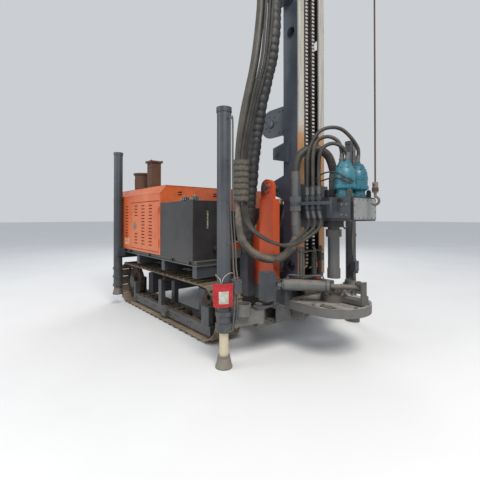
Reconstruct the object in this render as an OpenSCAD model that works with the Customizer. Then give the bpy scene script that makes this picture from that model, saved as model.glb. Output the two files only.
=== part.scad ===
// Crawler rotary drilling rig. Millimetres. +X is the drilling end, +Y the rig's left, +Z up.
// Lengths marked "from the front legs" run along X from the line through the two front legs.

/* [Layout] */
// X of the line through the two front legs
leg_line = 1040; // [900:5:1200]
// legs' distance from the middle of the rig
leg_y = 1000; // [900:5:1100]
// distance back from the front legs to the rear legs
leg_base = 2600; // [2300:10:2700]
// height of the drill line's centre ahead of the front legs
drill_a = 430; // [400:5:470]

/* [Tracks] */
// overall height of a track
track_h = 610; // [560:5:660]
// front end of the tracks from the front legs
track_front = -294; // [-330:2:-260]
// rear end of the tracks from the front legs
track_rear = -2980; // [-2985:1:-2900]
// inner side of a track from the middle of the rig
track_in = 500; // [480:5:530]
// width of a shoe
shoe_w = 350; // [300:5:360]
// shoes in one track
shoe_n = 46; // [40:1:52]
// height of the bar on a shoe
bar_h = 22; // [12:1:30]
// thickness of a shoe
shoe_t = 12; // [8:1:16]
// thickness of the link chain under the shoes
link_t = 46; // [30:1:60]
// width of the link chain
link_w = 110; // [80:5:130]

/* [Frame] */
// centre of a main beam from the middle
beam_y = 345; // [320:5:370]
// width of a main beam
beam_w = 100; // [80:5:120]
// underside of the main beams
beam_z = 460; // [420:5:480]
// top of the main beams
beam_top = 600; // [570:5:620]
// top of the deck
deck_z = 841; // [820:1:860]
// height of the deck's edge channel
deck_h = 56; // [40:2:80]
// half width of the deck
deck_y = 923; // [900:1:940]
// front edge of the deck from the front legs
deck_front = -573; // [-620:1:-540]
// rear edge of the deck from the front legs
deck_rear = -2990; // [-3020:1:-2950]

/* [Hood and tank] */
// front of the hood from the front legs
hood_front = -1360; // [-1400:5:-1340]
// half width of the hood
hood_y = 936; // [920:1:950]
// height of the eave
eave_z = 1590; // [1560:5:1620]
// height of the roof
roof_z = 1690; // [1650:5:1700]
// half width of the roof's flat top
roof_y = 846; // [800:2:880]
// sheet thickness of the hood
sheet = 5; // [3:1:8]
// depth of a door's edge
door_t = 25; // [20:1:35]
// rear edge of a door from the front legs
door_rear = -2265; // [-2300:5:-2200]
// louvre slots in one column
slot_n = 13; // [8:1:15]
// length of a louvre slot
slot_l = 100; // [80:2:120]
// height of a louvre slot
slot_h = 14; // [8:1:18]
// front of the oil tank from the front legs
tank_front = -621; // [-660:1:-600]
// rear of the oil tank from the front legs
tank_rear = -1352; // [-1356:1:-1300]
// outer side of the tank from the middle
tank_y = 934; // [900:1:936]
// width of the tank
tank_w = 474; // [400:2:474]
// top of the tank
tank_top = 1468; // [1400:2:1500]

/* [Mast] */
// back of the mast from the front legs
mast_back = -27; // [-40:1:0]
// front of the mast's rails from the front legs
mast_front = 171; // [150:1:190]
// half width of the mast
mast_y = 210; // [190:1:230]
// plate thickness of the mast
mast_t = 10; // [6:1:14]
// thickness of a wear rail
rail_t = 12; // [8:1:16]
// half width of the slot between the rails
slot_y = 120; // [100:2:140]
// foot of the mast
mast_foot = 674; // [650:2:700]
// top of the mast
mast_top = 5750; // [5000:10:6000]
// tilt pin from the front legs
pin_a = -117; // [-130:1:-105]
// height of the tilt pin
pin_z = 1600; // [1580:1:1640]
// diameter of the tilt pin
pin_d = 60; // [50:1:70]
// lift cylinder's upper pin from the front legs
lift_a = -113; // [-120:1:-100]
// height of the lift cylinder's upper pin
lift_z = 1963; // [1900:1:2000]
// lift cylinder's lower pin from the front legs
lift_base_a = -470; // [-500:1:-440]
// height of the lift cylinder's lower pin
lift_base_z = 750; // [720:1:780]
// winch axis from the front legs
winch_a = -220; // [-230:1:-200]
// height of the winch axis
winch_z = 2300; // [2250:1:2350]
// radius of the winch's side plates
winch_r = 150; // [120:1:160]

/* [Legs] */
// outside diameter of a leg tube
leg_d = 124; // [110:1:140]
// top of the leg tubes
leg_top = 2240; // [2100:10:2400]
// lower end of a front leg tube
leg_end_front = 310; // [290:5:330]
// lower end of a rear leg tube
leg_end_rear = 280; // [270:5:330]
// diameter of a leg rod
rod_d = 80; // [60:1:90]
// running fit at a rod or pin, on the radius
fit = 0.05; // [0.01:0.01:0.1]
// height of a jack foot
foot_h = 110; // [90:2:120]
// diameter of a jack foot
foot_d = 156; // [140:2:240]
// height of the rear feet above the ground
foot_up = 165; // [150:5:165]
// hinge of a front leg arm from the front legs
arm_a = 60; // [50:1:70]
// hinge of a front leg arm from the middle
arm_y = 640; // [620:1:660]

/* [Head] */
// front of the gearbox from the front legs
box_front = 740; // [700:2:760]
// back of the gearbox from the front legs
box_back = 300; // [280:2:320]
// half width of the gearbox
box_y = 205; // [180:1:220]
// underside of the gearbox
box_z = 1262; // [1240:2:1290]
// top of the gearbox
box_top = 1477; // [1450:2:1500]
// outside diameter of the spindle
spindle_d = 110; // [90:1:120]
// bore of the spindle
spindle_bore = 62; // [50:1:76]
// lower end of the spindle
spindle_end = 715; // [700:1:740]
// motors' distance from the middle
motor_y = 108; // [100:1:115]
// motors' axis from the front legs
motor_a = 618; // [600:1:640]

/* [Table and wrench] */
// radius of the drill table
table_r = 340; // [320:2:360]
// top of the drill table
table_z = 500; // [480:2:504]
// thickness of the drill table
table_t = 80; // [60:2:100]
// bore of the drill table
table_bore = 170; // [150:1:190]
// outside diameter of the wrench ring
ring_d = 250; // [240:1:280]
// radius from the drill line to the wrench's pin
wrench_r = 262; // [255:1:270]
// height of the wrench cylinder
wrench_z = 662; // [655:1:670]
// rear pin of the wrench cylinder from the front legs
wrench_a = 120; // [110:1:130]
// rear pin of the wrench cylinder from the middle
wrench_y = 440; // [430:1:450]
// diameter of the wrench cylinder
wrench_d = 104; // [90:1:110]
// diameter of the wrench cylinder's rod
wrench_rod_d = 45; // [35:1:50]

/* [Hidden] */
$fn = 48;
eps = 0.01;
track_mid = track_in + shoe_w / 2;
wheel_z = track_h / 2;
wheel_front = track_front - wheel_z;
wheel_rear = track_rear + wheel_z;
shoe_in = track_h / 2 - bar_h - shoe_t;
link_in = shoe_in - link_t;
beam_in = beam_y - beam_w / 2;
beam_out = beam_y + beam_w / 2;
deck_under = deck_z - deck_h;
tank_in = tank_y - tank_w;
rail_back = mast_front - rail_t;
lip_back = rail_back - mast_t;
foot_top = foot_h;
arm_dx = -arm_a;
arm_dy = -(leg_y - arm_y);
arm_len = norm([arm_dx, arm_dy]);
arm_turn = atan2(arm_dy, arm_dx);
clamp_r = 75;
lift_dx = lift_a - lift_base_a;
lift_dz = lift_z - lift_base_z;
lift_len = norm([lift_dx, lift_dz]);
lift_turn = atan2(lift_dx, lift_dz);
wrench_dx = drill_a + wrench_r - wrench_a;
wrench_len = norm([wrench_dx, wrench_y]);
wrench_turn = atan2(wrench_y, wrench_dx);
jib_front = 910;
sheave_r = 94;
rope_r = 7;
chain_r = 61;
chain_low = mast_foot + 156;
chain_high = mast_top - 90;
pad_gap = 0.3;
bracket_z = 3480;
valve_z = 905;
pipe_a = 205;
pipe_y = 290;
pipe_r = 44;
nut_r = 58;
port_a = [335, 400, 465];
port_y = 275;
port_low = 1350;
port_high = 1500;
sheave_z = mast_top + 122;
rope_back = mast_back - 33;
// the rope leaves the drum here and meets its guide roller there
rope_drum = winch_a + 83;
guide_z = winch_z + 330;
guide_r = 22;
sheave_back = rope_back + 80;
rope_front = 850;
sheave_front = rope_front - 80;

orange = [0.78, 0.33, 0.13];
post_red = [0.72, 0.27, 0.13];
slate = [0.27, 0.29, 0.33];
grey = [0.23, 0.23, 0.23];
teal = [0.14, 0.42, 0.5];
steel = [0.6, 0.6, 0.58];
dusty = [0.42, 0.37, 0.3];
rusty = [0.38, 0.24, 0.17];
cream = [0.72, 0.66, 0.55];
black = [0.1, 0.1, 0.1];
tan_ = [0.5, 0.43, 0.33];

// moves a piece laid out from the front legs to its place in the rig
module rig() translate([leg_line, 0, 0]) children();
// a piece on the right side and its mirror image on the left
module both() { children(); mirror([0, 1, 0]) children(); }
// a box from two corners
module bx(x0, x1, y0, y1, z0, z1) translate([x0, y0, z0]) cube([x1 - x0, y1 - y0, z1 - z0]);
// a round bar along Y
module ybar(x, z, r, y0, y1) translate([x, y0, z]) rotate([-90, 0, 0]) cylinder(r = r, h = y1 - y0);
// a round bar along Z
module zbar(x, y, r, z0, z1) translate([x, y, z0]) cylinder(r = r, h = z1 - z0);
// a plate in the XZ plane from a list of points
module xz(pts, y0, y1) translate([0, y1, 0]) rotate([90, 0, 0]) linear_extrude(height = y1 - y0) polygon(pts);

// the track's loop: a place and a direction at a distance along it, at a radius r
loop_run = wheel_front - wheel_rear;
function loop_len(r) = 2 * loop_run + 2 * PI * r;
function loop_at(s, r) =
    let(q = PI * r, t = s % loop_len(r))
    t < loop_run ? [[wheel_rear + t, wheel_z + r], 0]
    : t < loop_run + q ? let(w = (t - loop_run) / r * 180 / PI)
        [[wheel_front + r * sin(w), wheel_z + r * cos(w)], -w]
    : t < 2 * loop_run + q ? [[wheel_front - (t - loop_run - q), wheel_z - r], 180]
    : let(w = (t - 2 * loop_run - q) / r * 180 / PI)
        [[wheel_rear - r * sin(w), wheel_z - r * cos(w)], 180 - w];
function loop_point(s, r, u, v) =
    let(p = loop_at(s, r), a = p[1]) [p[0][0] + u * cos(a) - v * sin(a), p[0][1] + u * sin(a) + v * cos(a)];
pitch = loop_len(shoe_in) / shoe_n;
// the wheels lie inside the chain's flats
wheel_r = link_in * cos(90 * pitch / PI / shoe_in) - 0.5;
module track_loop(y0) {
    outer = [for (i = [0 : shoe_n - 1]) each [
        loop_point((i + 0.5) * pitch, shoe_in, -pitch * 0.47, 3),
        loop_point((i + 0.5) * pitch, shoe_in, -pitch * 0.47, shoe_t),
        loop_point((i + 0.5) * pitch, shoe_in, -pitch * 0.10, shoe_t),
        loop_point((i + 0.5) * pitch, shoe_in, -pitch * 0.06, shoe_t + bar_h),
        loop_point((i + 0.5) * pitch, shoe_in, pitch * 0.06, shoe_t + bar_h),
        loop_point((i + 0.5) * pitch, shoe_in, pitch * 0.10, shoe_t),
        loop_point((i + 0.5) * pitch, shoe_in, pitch * 0.47, shoe_t),
        loop_point((i + 0.5) * pitch, shoe_in, pitch * 0.47, 3)]];
    inner = [for (i = [0 : shoe_n - 1]) loop_point(i * pitch, shoe_in, 0, 0)];
    n = len(outer);
    translate([0, y0 + shoe_w, 0]) rotate([90, 0, 0]) linear_extrude(height = shoe_w)
        polygon(concat(outer, inner), [[for (i = [0 : n - 1]) i], [for (i = [0 : shoe_n - 1]) n + i]]);
}
module track_right() color(dusty) rig() track_loop(-track_in - shoe_w);
module track_left() color(dusty) rig() track_loop(track_in);
module link_loop(y0) {
    outer = [for (i = [0 : shoe_n - 1]) loop_point(i * pitch, shoe_in, 0, 0)];
    inner = [for (i = [0 : shoe_n - 1]) loop_point(i * pitch, shoe_in, 0, -link_t)];
    translate([0, y0 + link_w, 0]) rotate([90, 0, 0]) linear_extrude(height = link_w)
        polygon(concat(outer, inner), [[for (i = [0 : shoe_n - 1]) i], [for (i = [0 : shoe_n - 1]) shoe_n + i]]);
}
module track_chains() color(rusty) rig() {
    link_loop(-track_mid - link_w / 2);
    link_loop(track_mid - link_w / 2);
}

side_z = 68;
side_h = 100;
tube_out = track_in + shoe_w - 50;
tube_in = track_in + 50;
side_w = 60;
axle_r = 30;
module side_frame() {
    bx(track_rear + 205, track_front - 205, -tube_in - side_w, -tube_in, side_z, side_z + side_h);
    bx(track_rear + 510, track_front - 205, -tube_out, -tube_out + side_w, side_z, side_z + side_h);
    bx(track_rear + 500, track_rear + 560, -tube_out - 6, -tube_out + side_w, side_z - 18, side_z + 270);
    for (y = [-tube_out, -tube_in - side_w]) {
        bx(wheel_front - 70, wheel_front + 70, y, y + side_w, side_z + side_h, wheel_z + 55);
        bx(-1680, -1600, y, y + side_w, side_z + side_h, track_h - bar_h - shoe_t - link_t - 40);
    }
    bx(wheel_rear - 70, wheel_rear + 70, -tube_in - side_w, -tube_in, side_z + side_h, wheel_z + 55);
    ybar(wheel_front, wheel_z, axle_r, -tube_out, -tube_in);
    ybar(wheel_rear, wheel_z, axle_r, -track_mid - 75, -tube_in);
    ybar(wheel_rear, wheel_z, 90, -track_mid - 85, -track_mid - 60);
    for (x = [-1350, -1640, -2210])
        bx(x - 30, x + 30, -tube_out + side_w, -tube_in - side_w, side_z + side_h - 25, side_z + side_h);
    bx(-1520, -1400, -tube_out - 45, -tube_out, side_z + 10, side_z + 70);
}
module track_frames() color(slate) rig() both() side_frame();

roller_r = 46;
roller_z = track_h / 2 - link_in + roller_r;
carrier_z = track_h / 2 + link_in - 40;
module wheel_set() {
    for (x = [wheel_front, wheel_rear]) difference() {
        union() {
            ybar(x, wheel_z, wheel_r, -track_mid - 28, -track_mid + 28);
            ybar(x, wheel_z, 80, -track_mid - 55, -track_mid + 55);
        }
        ybar(x, wheel_z, axle_r, -track_mid - 60, -track_mid + 60);
        for (w = [0 : 60 : 300]) ybar(x + 140 * cos(w), wheel_z + 140 * sin(w), 32, -track_mid - 60, -track_mid + 60);
    }
    for (i = [0 : 5]) ybar(wheel_rear + 320 + i * (loop_run - 640) / 5, roller_z, roller_r,
                           -tube_out + side_w, -tube_in - side_w);
    ybar(-1640, carrier_z, 36, -tube_out + side_w, -tube_in - side_w);
}
module track_wheels() color(rusty) rig() both() wheel_set();

module lower_frame() color(slate) rig() {
    both() bx(deck_rear + 60, mast_front - 6, -beam_out, -beam_in, beam_z, beam_top);
    for (x = [-950, -2350]) bx(x - 70, x + 70, -tube_in - 50, tube_in + 50, side_z + side_h, beam_z);
    for (x = [-640, -1350, -2100, -2900]) {
        bx(x - 40, x + 40, -900, 900, 660, deck_under);
        both() bx(x - 40, x + 40, -beam_out, -beam_in, beam_top, 660);
    }
    bx(-640, -560, -beam_in, beam_in, beam_z, beam_top);
    bx(-390, -270, -track_in + 7, -beam_out, beam_z + 20, valve_z);
    difference() {
        union() {
            bx(lift_base_a - 90, lift_base_a + 50, -70, -42, 640, 800);
            bx(lift_base_a - 90, lift_base_a + 50, 42, 70, 640, 800);
            bx(lift_base_a - 170, lift_base_a + 50, -beam_in, beam_in, beam_z + 60, 640);
        }
        ybar(lift_base_a, lift_base_z, 20, -80, 80);
    }
    ybar(lift_base_a, lift_base_z, 20, -84, 84);
}

module deck() color(grey) rig() difference() {
    bx(deck_rear, deck_front, -deck_y, deck_y, deck_under, deck_z);
    bx(deck_rear + 38, deck_front - 38, -deck_y + 38, deck_y - 38, deck_under - 1, deck_z - 8);
    difference() {
        bx(deck_rear - 5, deck_front + 5, -deck_y - 5, deck_y + 5, deck_under + 8, deck_z - 8);
        bx(deck_rear + 30, deck_front - 30, -deck_y + 30, deck_y - 30, deck_under, deck_z);
    }
}

module engine_block() color(grey) rig() {
    bx(-2500, -1620, -310, 310, deck_z + 60, 1420);
    for (x = [-2440, -1760]) bx(x, x + 80, -310, 310, deck_z, deck_z + 60);
    bx(-2900, -2820, -420, 420, deck_z, 1500);
}

module hood_profile(grow) polygon([
    [-hood_y - grow, eave_z - 85], [-hood_y - grow, eave_z + grow / 3], [-roof_y - grow / 2, roof_z + grow],
    [roof_y + grow / 2, roof_z + grow], [hood_y + grow, eave_z + grow / 3], [hood_y + grow, eave_z - 85]]);
module hood_roof() color(orange) rig() translate([deck_rear, 0, 0]) rotate([90, 0, 90])
    linear_extrude(height = hood_front - deck_rear) difference() {
        hood_profile(0);
        translate([0, -eps]) hood_profile(-sheet);
    }
module hood_front_wall() color(orange) rig() difference() {
    translate([hood_front - sheet, 0, 0]) rotate([90, 0, 90]) linear_extrude(height = sheet) polygon([
        [-hood_y + 45, deck_z], [-hood_y + 45, eave_z - 40], [-roof_y + 12, roof_z - 24],
        [roof_y - 12, roof_z - 24], [hood_y - 45, eave_z - 40], [hood_y - 45, deck_z]]);
    for (y = [-666, -128, 410], z = [1575, 1605]) bx(hood_front - 20, hood_front + 20, y - 30, y + 30, z - 6, z + 6);
    bx(hood_front - 20, hood_front + 20, -380, 380, 940, 1380);
}
door_front = hood_front - 38;
module side_panel() difference() {
    bx(deck_rear + 6, hood_front, -hood_y, -hood_y + door_t, deck_z, eave_z - 85);
    bx(door_rear - 8, door_front + 8, -hood_y - 5, -hood_y + door_t + 5, deck_z + 27, eave_z - 90);
    bx(deck_rear + 36, door_rear - 40, -hood_y + 3, -hood_y + door_t + 5, deck_z + 27, eave_z - 115);
    for (x = [-2420, -2650, -2880], i = [0 : slot_n - 1])
        bx(x - slot_l / 2, x + slot_l / 2, -hood_y - 5, -hood_y + 20,
           deck_z + 95 + i * 42, deck_z + 95 + slot_h + i * 42);
}
hinge_z = [deck_z + 120, deck_z + 520];
module hinge_pins() for (z = hinge_z) {
    zbar(door_front + 3, -hood_y - 9, 4, z - 12, z + 62);
    for (k = [z - 14, z + 51]) {
        zbar(door_front + 3, -hood_y - 9, 8, k, k + 13);
        bx(door_front + 3, door_front + 33, -hood_y - 6, -hood_y, k, k + 13);
    }
}
module hood_sides() color(orange) rig() both() {
    side_panel();
    hinge_pins();
}
module hood_rear_grille() color(orange) rig() difference() {
    bx(deck_rear, deck_rear + 6, -hood_y + door_t, hood_y - door_t, deck_z, eave_z - 85);
    for (i = [0 : 10]) bx(deck_rear - 5, deck_rear + 15, -640, 640, deck_z + 90 + i * 48, deck_z + 114 + i * 48);
}
module door() difference() {
    union() {
        difference() {
            bx(door_rear, door_front, -hood_y, -hood_y + door_t, deck_z + 34, eave_z - 98);
            bx(door_rear + 25, door_front - 25, -hood_y + 3, -hood_y + door_t + 5, deck_z + 59, eave_z - 123);
            for (x = [-1635, -1860, -2090], i = [0 : slot_n - 1]) if (x > -2000 || abs(i - 6) > 2)
                bx(x - slot_l / 2, x + slot_l / 2, -hood_y - 5, -hood_y + 5,
                   deck_z + 95 + i * 42, deck_z + 95 + slot_h + i * 42);
        }
        for (z = hinge_z) {
            zbar(door_front + 3, -hood_y - 9, 8, z, z + 50);
            bx(door_front - 30, door_front + 3, -hood_y - 6, -hood_y, z, z + 50);
        }
    }
    for (z = hinge_z) zbar(door_front + 3, -hood_y - 9, 4 + fit, z - 5, z + 55);
}
module door_right() color(orange) rig() door();
module door_left() color(orange) rig() mirror([0, 1, 0]) door();

module exhaust_pipe() color(rusty) rig() {
    difference() {
        bx(-2080, -1940, -780, -640, roof_z, 2050);
        bx(-2068, -1952, -768, -652, roof_z + 40, 2060);
    }
    difference() {
        bx(-2100, -1920, -800, -620, 2050, 2075);
        bx(-2068, -1952, -768, -652, 2040, 2080);
    }
}
module air_cleaner() color(rusty) rig() translate([-2400, -700, roof_z]) rotate_extrude()
    polygon([[0, 0], [118, 0], [118, 210], [140, 232], [140, 250], [128, 250], [112, 226], [0, 226]]);

module oil_tank() color(grey) rig() {
    bx(tank_rear, tank_front, -tank_y, -tank_in, deck_z, tank_top);
}
module tank_fittings() color(steel) rig() {
    for (x = [-760, -960]) {
        zbar(x, -820, 62, tank_top, tank_top + 22);
        zbar(x, -820, 46, tank_top + 22, tank_top + 52);
    }
    bx(tank_front, tank_front + 14, -778, -738, 1170, 1370);
    translate([tank_front, -667, 964]) rotate([0, 90, 0]) cylinder(r = 34, h = 46);
    translate([tank_front + 46, -667, 964]) rotate([0, 90, 0]) cylinder(r = 22, h = 30);
}
module control_console() color(grey) rig() {
    xz([[-1350, deck_z], [-621, deck_z], [-621, 1250], [-760, 1420], [-1350, 1420]], tank_in, tank_y);
    for (i = [0 : 7]) translate([-690, tank_in + 60 + i * 50, 1335]) rotate([0, 39, 0]) translate([0, 0, -8]) {
        cylinder(r = 7, h = 110);
        translate([0, 0, 104]) cylinder(r = 13, h = 30);
    }
}

module mast_posts() color(post_red) rig() both() {
    difference() {
        union() {
            bx(-200, 0, -beam_out + 5, -beam_in - 5, beam_top, 1480);
            bx(pin_a - 85, pin_a + 85, -beam_y - 22, -beam_y + 22, 1480, pin_z);
            ybar(pin_a, pin_z, 85, -beam_y - 22, -beam_y + 22);
            ybar(pin_a, pin_z, 58, -beam_y - 36, -beam_y + 36);
        }
        ybar(pin_a, pin_z, pin_d / 2 + fit, -beam_out - 20, -beam_in + 20);
        bx(-188, -12, -beam_out + 17, -beam_in - 17, beam_top - 5, 1468);
    }
    xz([[-200, 1340], [-200, 620 + beam_top - 600], [-200, beam_top], [-640 + 80, beam_top]],
       -beam_y - 30, -beam_y + 30);
}

module front_beam() color(slate) rig() {
    difference() {
        bx(10, 165, -520, 520, 320, beam_z);
        bx(22, 153, -530, 530, 332, beam_z - 12);
    }
    both() {
        difference() {
            union() for (z = [300, beam_z]) {
                bx(10, 120, -arm_y, -430, z, z + 20);
                zbar(arm_a + 5, -arm_y, 55, z, z + 20);
            }
            zbar(arm_a, -arm_y, 25, 290, beam_z + 30);
        }
        zbar(arm_a, -arm_y, 25, 286, beam_z + 34);
        zbar(arm_a, -arm_y, 36, beam_z + 20, beam_z + 44);
    }
    difference() {
        union() {
            bx(35, 140, -620, -500, beam_z + 60, 790);
            bx(35, 140, -520, -500, beam_z, beam_z + 60);
            for (z = [wrench_z - 45, wrench_z + 22]) {
                bx(60, 140, -500, -wrench_y, z, z + 23);
                zbar(wrench_a - 0, -wrench_y, 30, z, z + 23);
            }
        }
        bx(47, 128, -608, -512, beam_z + 72, 778);
        zbar(wrench_a, -wrench_y, 15, wrench_z - 60, wrench_z + 60);
    }
    zbar(wrench_a, -wrench_y, 15, wrench_z - 52, wrench_z + 52);
}

module drill_table() color(cream) rig() difference() {
    union() {
        translate([0, 0, table_z - table_t]) linear_extrude(height = table_t) difference() {
            union() {
                intersection() {
                    translate([drill_a, 0]) circle(r = table_r);
                    translate([165, -table_r]) square([2 * table_r, 2 * table_r]);
                }
                translate([165, -table_r]) square([drill_a - 165, 2 * table_r]);
            }
            translate([drill_a, 0]) circle(d = table_bore);
            translate([drill_a + 150, 175]) circle(d = 44);
        }
        bx(165, 300, -300, -270, beam_z - 130, table_z - table_t);
        bx(165, 300, 270, 300, beam_z - 130, table_z - table_t);
        zbar(648, 0, 45, 350, table_z - table_t);
    }
    bx(200, 250, -250, 250, table_z - table_t - 1, table_z - 12);
}

module gland(x, y, z, d) difference() {
    zbar(x, y, leg_d / 2 + 8, z, z + 34);
    zbar(x, y, d / 2 + fit, z - 1, z + 35);
}
module leg_shell(x, z0) {
    difference() {
        union() {
            zbar(x, -leg_y, leg_d / 2, z0, leg_top);
            zbar(x, -leg_y, leg_d / 2 + 8, z0, z0 + 34);
            zbar(x, -leg_y, leg_d / 2 + 6, leg_top - 26, leg_top + 10);
        }
        zbar(x, -leg_y, rod_d / 2 + fit, z0 - 1, z0 + 61);
        zbar(x, -leg_y, 50, z0 + 60, leg_top - 30);
    }
}
module front_leg() {
    leg_shell(0, leg_end_front);
    translate([0, -leg_y, 0]) rotate([0, 0, arm_turn]) difference() {
        union() for (z = [345, 450]) {
            zbar(0, 0, clamp_r, z, z + 36);
            bx(-clamp_r - 5, 0, -60, 60, z, z + 36);
        }
        zbar(0, 0, leg_d / 2 - 1, 330, 500);
    }
    bx(52, 122, -leg_y + 20, -leg_y + 100, 640, 760);
}
module leg_tube_right() color(slate) rig() front_leg();
module leg_tube_left() color(slate) rig() mirror([0, 1, 0]) front_leg();
module leg_arm() translate([arm_a, -arm_y, 0]) rotate([0, 0, arm_turn]) difference() {
    union() {
        zbar(0, 0, 52, 322, beam_z - 2);
        bx(0, arm_len - clamp_r - 5, -45, 45, 335, beam_z - 12);
        bx(arm_len - clamp_r - 25, arm_len - clamp_r - 5, -60, 60, 335, 486);
        zbar(arm_len - 160, 60, 67, 440, 540);
        bx(arm_len - 215, arm_len - 105, 0, 60, 400, 447);
    }
    zbar(0, 0, 25 + fit, 300, 500);
    zbar(arm_len - 160, 60, 57, 455, 545);
}
module leg_arm_right() color(slate) rig() leg_arm();
module leg_arm_left() color(slate) rig() mirror([0, 1, 0]) leg_arm();

module rear_leg_tubes() color(slate) rig() both() {
    leg_shell(-leg_base, leg_end_rear);
    for (z = [410, 530]) difference() {
        zbar(-leg_base, -leg_y, leg_d / 2 + 10, z, z + 24);
        zbar(-leg_base, -leg_y, leg_d / 2 - 1, z - 1, z + 25);
    }
}
module rear_leg_brackets() color(slate) rig() both() difference() {
    bx(-leg_base - 85, -leg_base + 85, -leg_y - 30, -deck_y, deck_under - 60, deck_z);
    zbar(-leg_base, -leg_y, leg_d / 2, deck_under - 80, deck_z + 40);
    bx(-leg_base - 50, -leg_base + 50, -leg_y - 40, -leg_y, deck_under - 80, deck_z + 40);
}

module jack(x, up, top) {
    zbar(x, -leg_y, rod_d / 2, up + foot_h - 20, top);
    translate([x, -leg_y, up]) rotate_extrude()
        polygon([[0, 0], [foot_d / 2, 0], [foot_d / 2, 18], [rod_d / 2 + 13, foot_h - 26], [rod_d / 2 + 13, foot_h], [0, foot_h]]);
}
module jack_front_right() color(cream) rig() jack(0, 0, 1500);
module jack_front_left() color(cream) rig() mirror([0, 1, 0]) jack(0, 0, 1500);
module jack_rear_right() color(cream) rig() jack(-leg_base, foot_up, 1500);
module jack_rear_left() color(cream) rig() mirror([0, 1, 0]) jack(-leg_base, foot_up, 1500);

module mast_column() color(slate) rig() difference() {
    union() {
        translate([0, 0, mast_foot]) linear_extrude(height = mast_top - mast_foot) polygon([
            [mast_back, -mast_y], [rail_back, -mast_y], [rail_back, -slot_y], [lip_back, -slot_y],
            [lip_back, -mast_y + mast_t], [mast_back + mast_t, -mast_y + mast_t],
            [mast_back + mast_t, mast_y - mast_t], [lip_back, mast_y - mast_t], [lip_back, slot_y],
            [rail_back, slot_y], [rail_back, mast_y], [mast_back, mast_y]]);
        bx(mast_back + 5, rail_back, -mast_y + 5, mast_y - 5, mast_foot, mast_foot + 12);
    }
    for (z = [mast_foot + 131, (mast_foot + mast_top) / 2 - 42, mast_top - 215]) ybar(72, z, 52, -mast_y - 10, mast_y + 10);
}
module mast_rails() color(steel) rig() both()
    bx(rail_back, mast_front, -mast_y, -slot_y, mast_foot + 30, mast_top - 30);
module mast_trunnion() color(slate) rig() {
    both() {
        xz([[pin_a - 75, pin_z - 60], [100, pin_z - 160], [100, pin_z + 160], [pin_a - 75, pin_z + 60]],
           -mast_y - 22, -mast_y);
        xz([[lift_a - 45, lift_z - 60], [60, lift_z - 110], [60, lift_z + 110], [lift_a - 45, lift_z + 60]],
           -mast_y - 22, -mast_y);
        ybar(lift_a, lift_z, 34, -mast_y - 34, -mast_y - 22);
    }
    ybar(pin_a, pin_z, pin_d / 2, -beam_out - 10, beam_out + 10);
    both() {
        ybar(lift_a, lift_z, 22, -mast_y - 22, -84);
        xz([[lift_a - 42, lift_z - 40], [mast_back, lift_z - 110], [mast_back, lift_z + 110], [lift_a - 42, lift_z + 40]],
           -84, -66);
    }
    bx(-60, 110, -600, -mast_y, bracket_z, bracket_z + 20);
}
module feed_drive() color(slate) rig() {
    zbar(45, 0, 46, 950, mast_top - 190);
    for (z = [960, (mast_top + 650) / 2, mast_top - 270]) bx(mast_back + mast_t, 45, -30, 30, z, z + 50);
    for (z = [chain_low, chain_high]) {
        ybar(77, z, 20, -mast_y + mast_t, mast_y - mast_t);
        both() ybar(77, z, chain_r, -68, -38);
    }
}
module feed_chains() color(rusty) rig() both() {
    bx(77 + chain_r, 83 + chain_r, -68, -38, chain_low, chain_high);
    bx(71 - chain_r, 77 - chain_r, -68, -38, chain_low, chain_high);
}

module crown() color(slate) rig() {
    difference() {
        both() xz([[-150, mast_top + 20], [sheave_front - 60, mast_top + 20], [jib_front, mast_top + 80],
            [jib_front, mast_top + 150], [sheave_front, mast_top + 215], [-150, mast_top + 215]], -74, -60);
        for (x = [sheave_back, sheave_front]) ybar(x, sheave_z, 18, -90, 90);
    }
    bx(mast_back, mast_front, -mast_y, mast_y, mast_top, mast_top + 20);
    both() xz([[mast_front, mast_top - 260], [mast_front + 22, mast_top - 260],
        [520, mast_top + 20], [mast_front, mast_top + 20]], -mast_y + 10 + 64, -mast_y + 10 + 76);
}
module crown_sheaves() color(rusty) rig() for (x = [sheave_back, sheave_front]) {
    translate([x, 0, sheave_z]) rotate([90, 0, 0]) rotate_extrude()
        polygon([[0, -24], [sheave_r, -24], [sheave_r, -18], [64, -9], [64, 9], [sheave_r, 18], [sheave_r, 24], [0, 24]]);
    ybar(x, sheave_z, 18, -82, 82);
}
module winch_frame() color(slate) rig() {
    winch_plates();
    guide_roller();
}
module winch_plates() both() difference() {
    union() {
        bx(winch_a, mast_back, -200, -185, winch_z - winch_r, winch_z + winch_r);
        ybar(winch_a, winch_z, winch_r, -200, -185);
    }
    ybar(winch_a, winch_z, 20 + fit, -210, -170);
    for (w = [0 : 51.4 : 308]) ybar(winch_a + 80 * cos(w), winch_z + 80 * sin(w), 8, -210, -170);
}
module guide_roller() {
    x = rope_back - rope_r - guide_r - 0.5;
    ybar(x, guide_z, guide_r, -46, 46);
    both() xz([[x - 20, guide_z - 20], [mast_back, guide_z - 50], [mast_back, guide_z + 50], [x - 20, guide_z + 20]],
              -56, -46);
}
module winch_drum() color(rusty) rig() {
    ybar(winch_a, winch_z, 75, -164, 164);
    both() ybar(winch_a, winch_z, 100, -178, -164);
    ybar(winch_a, winch_z, 20, -206, 206);
}

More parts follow.
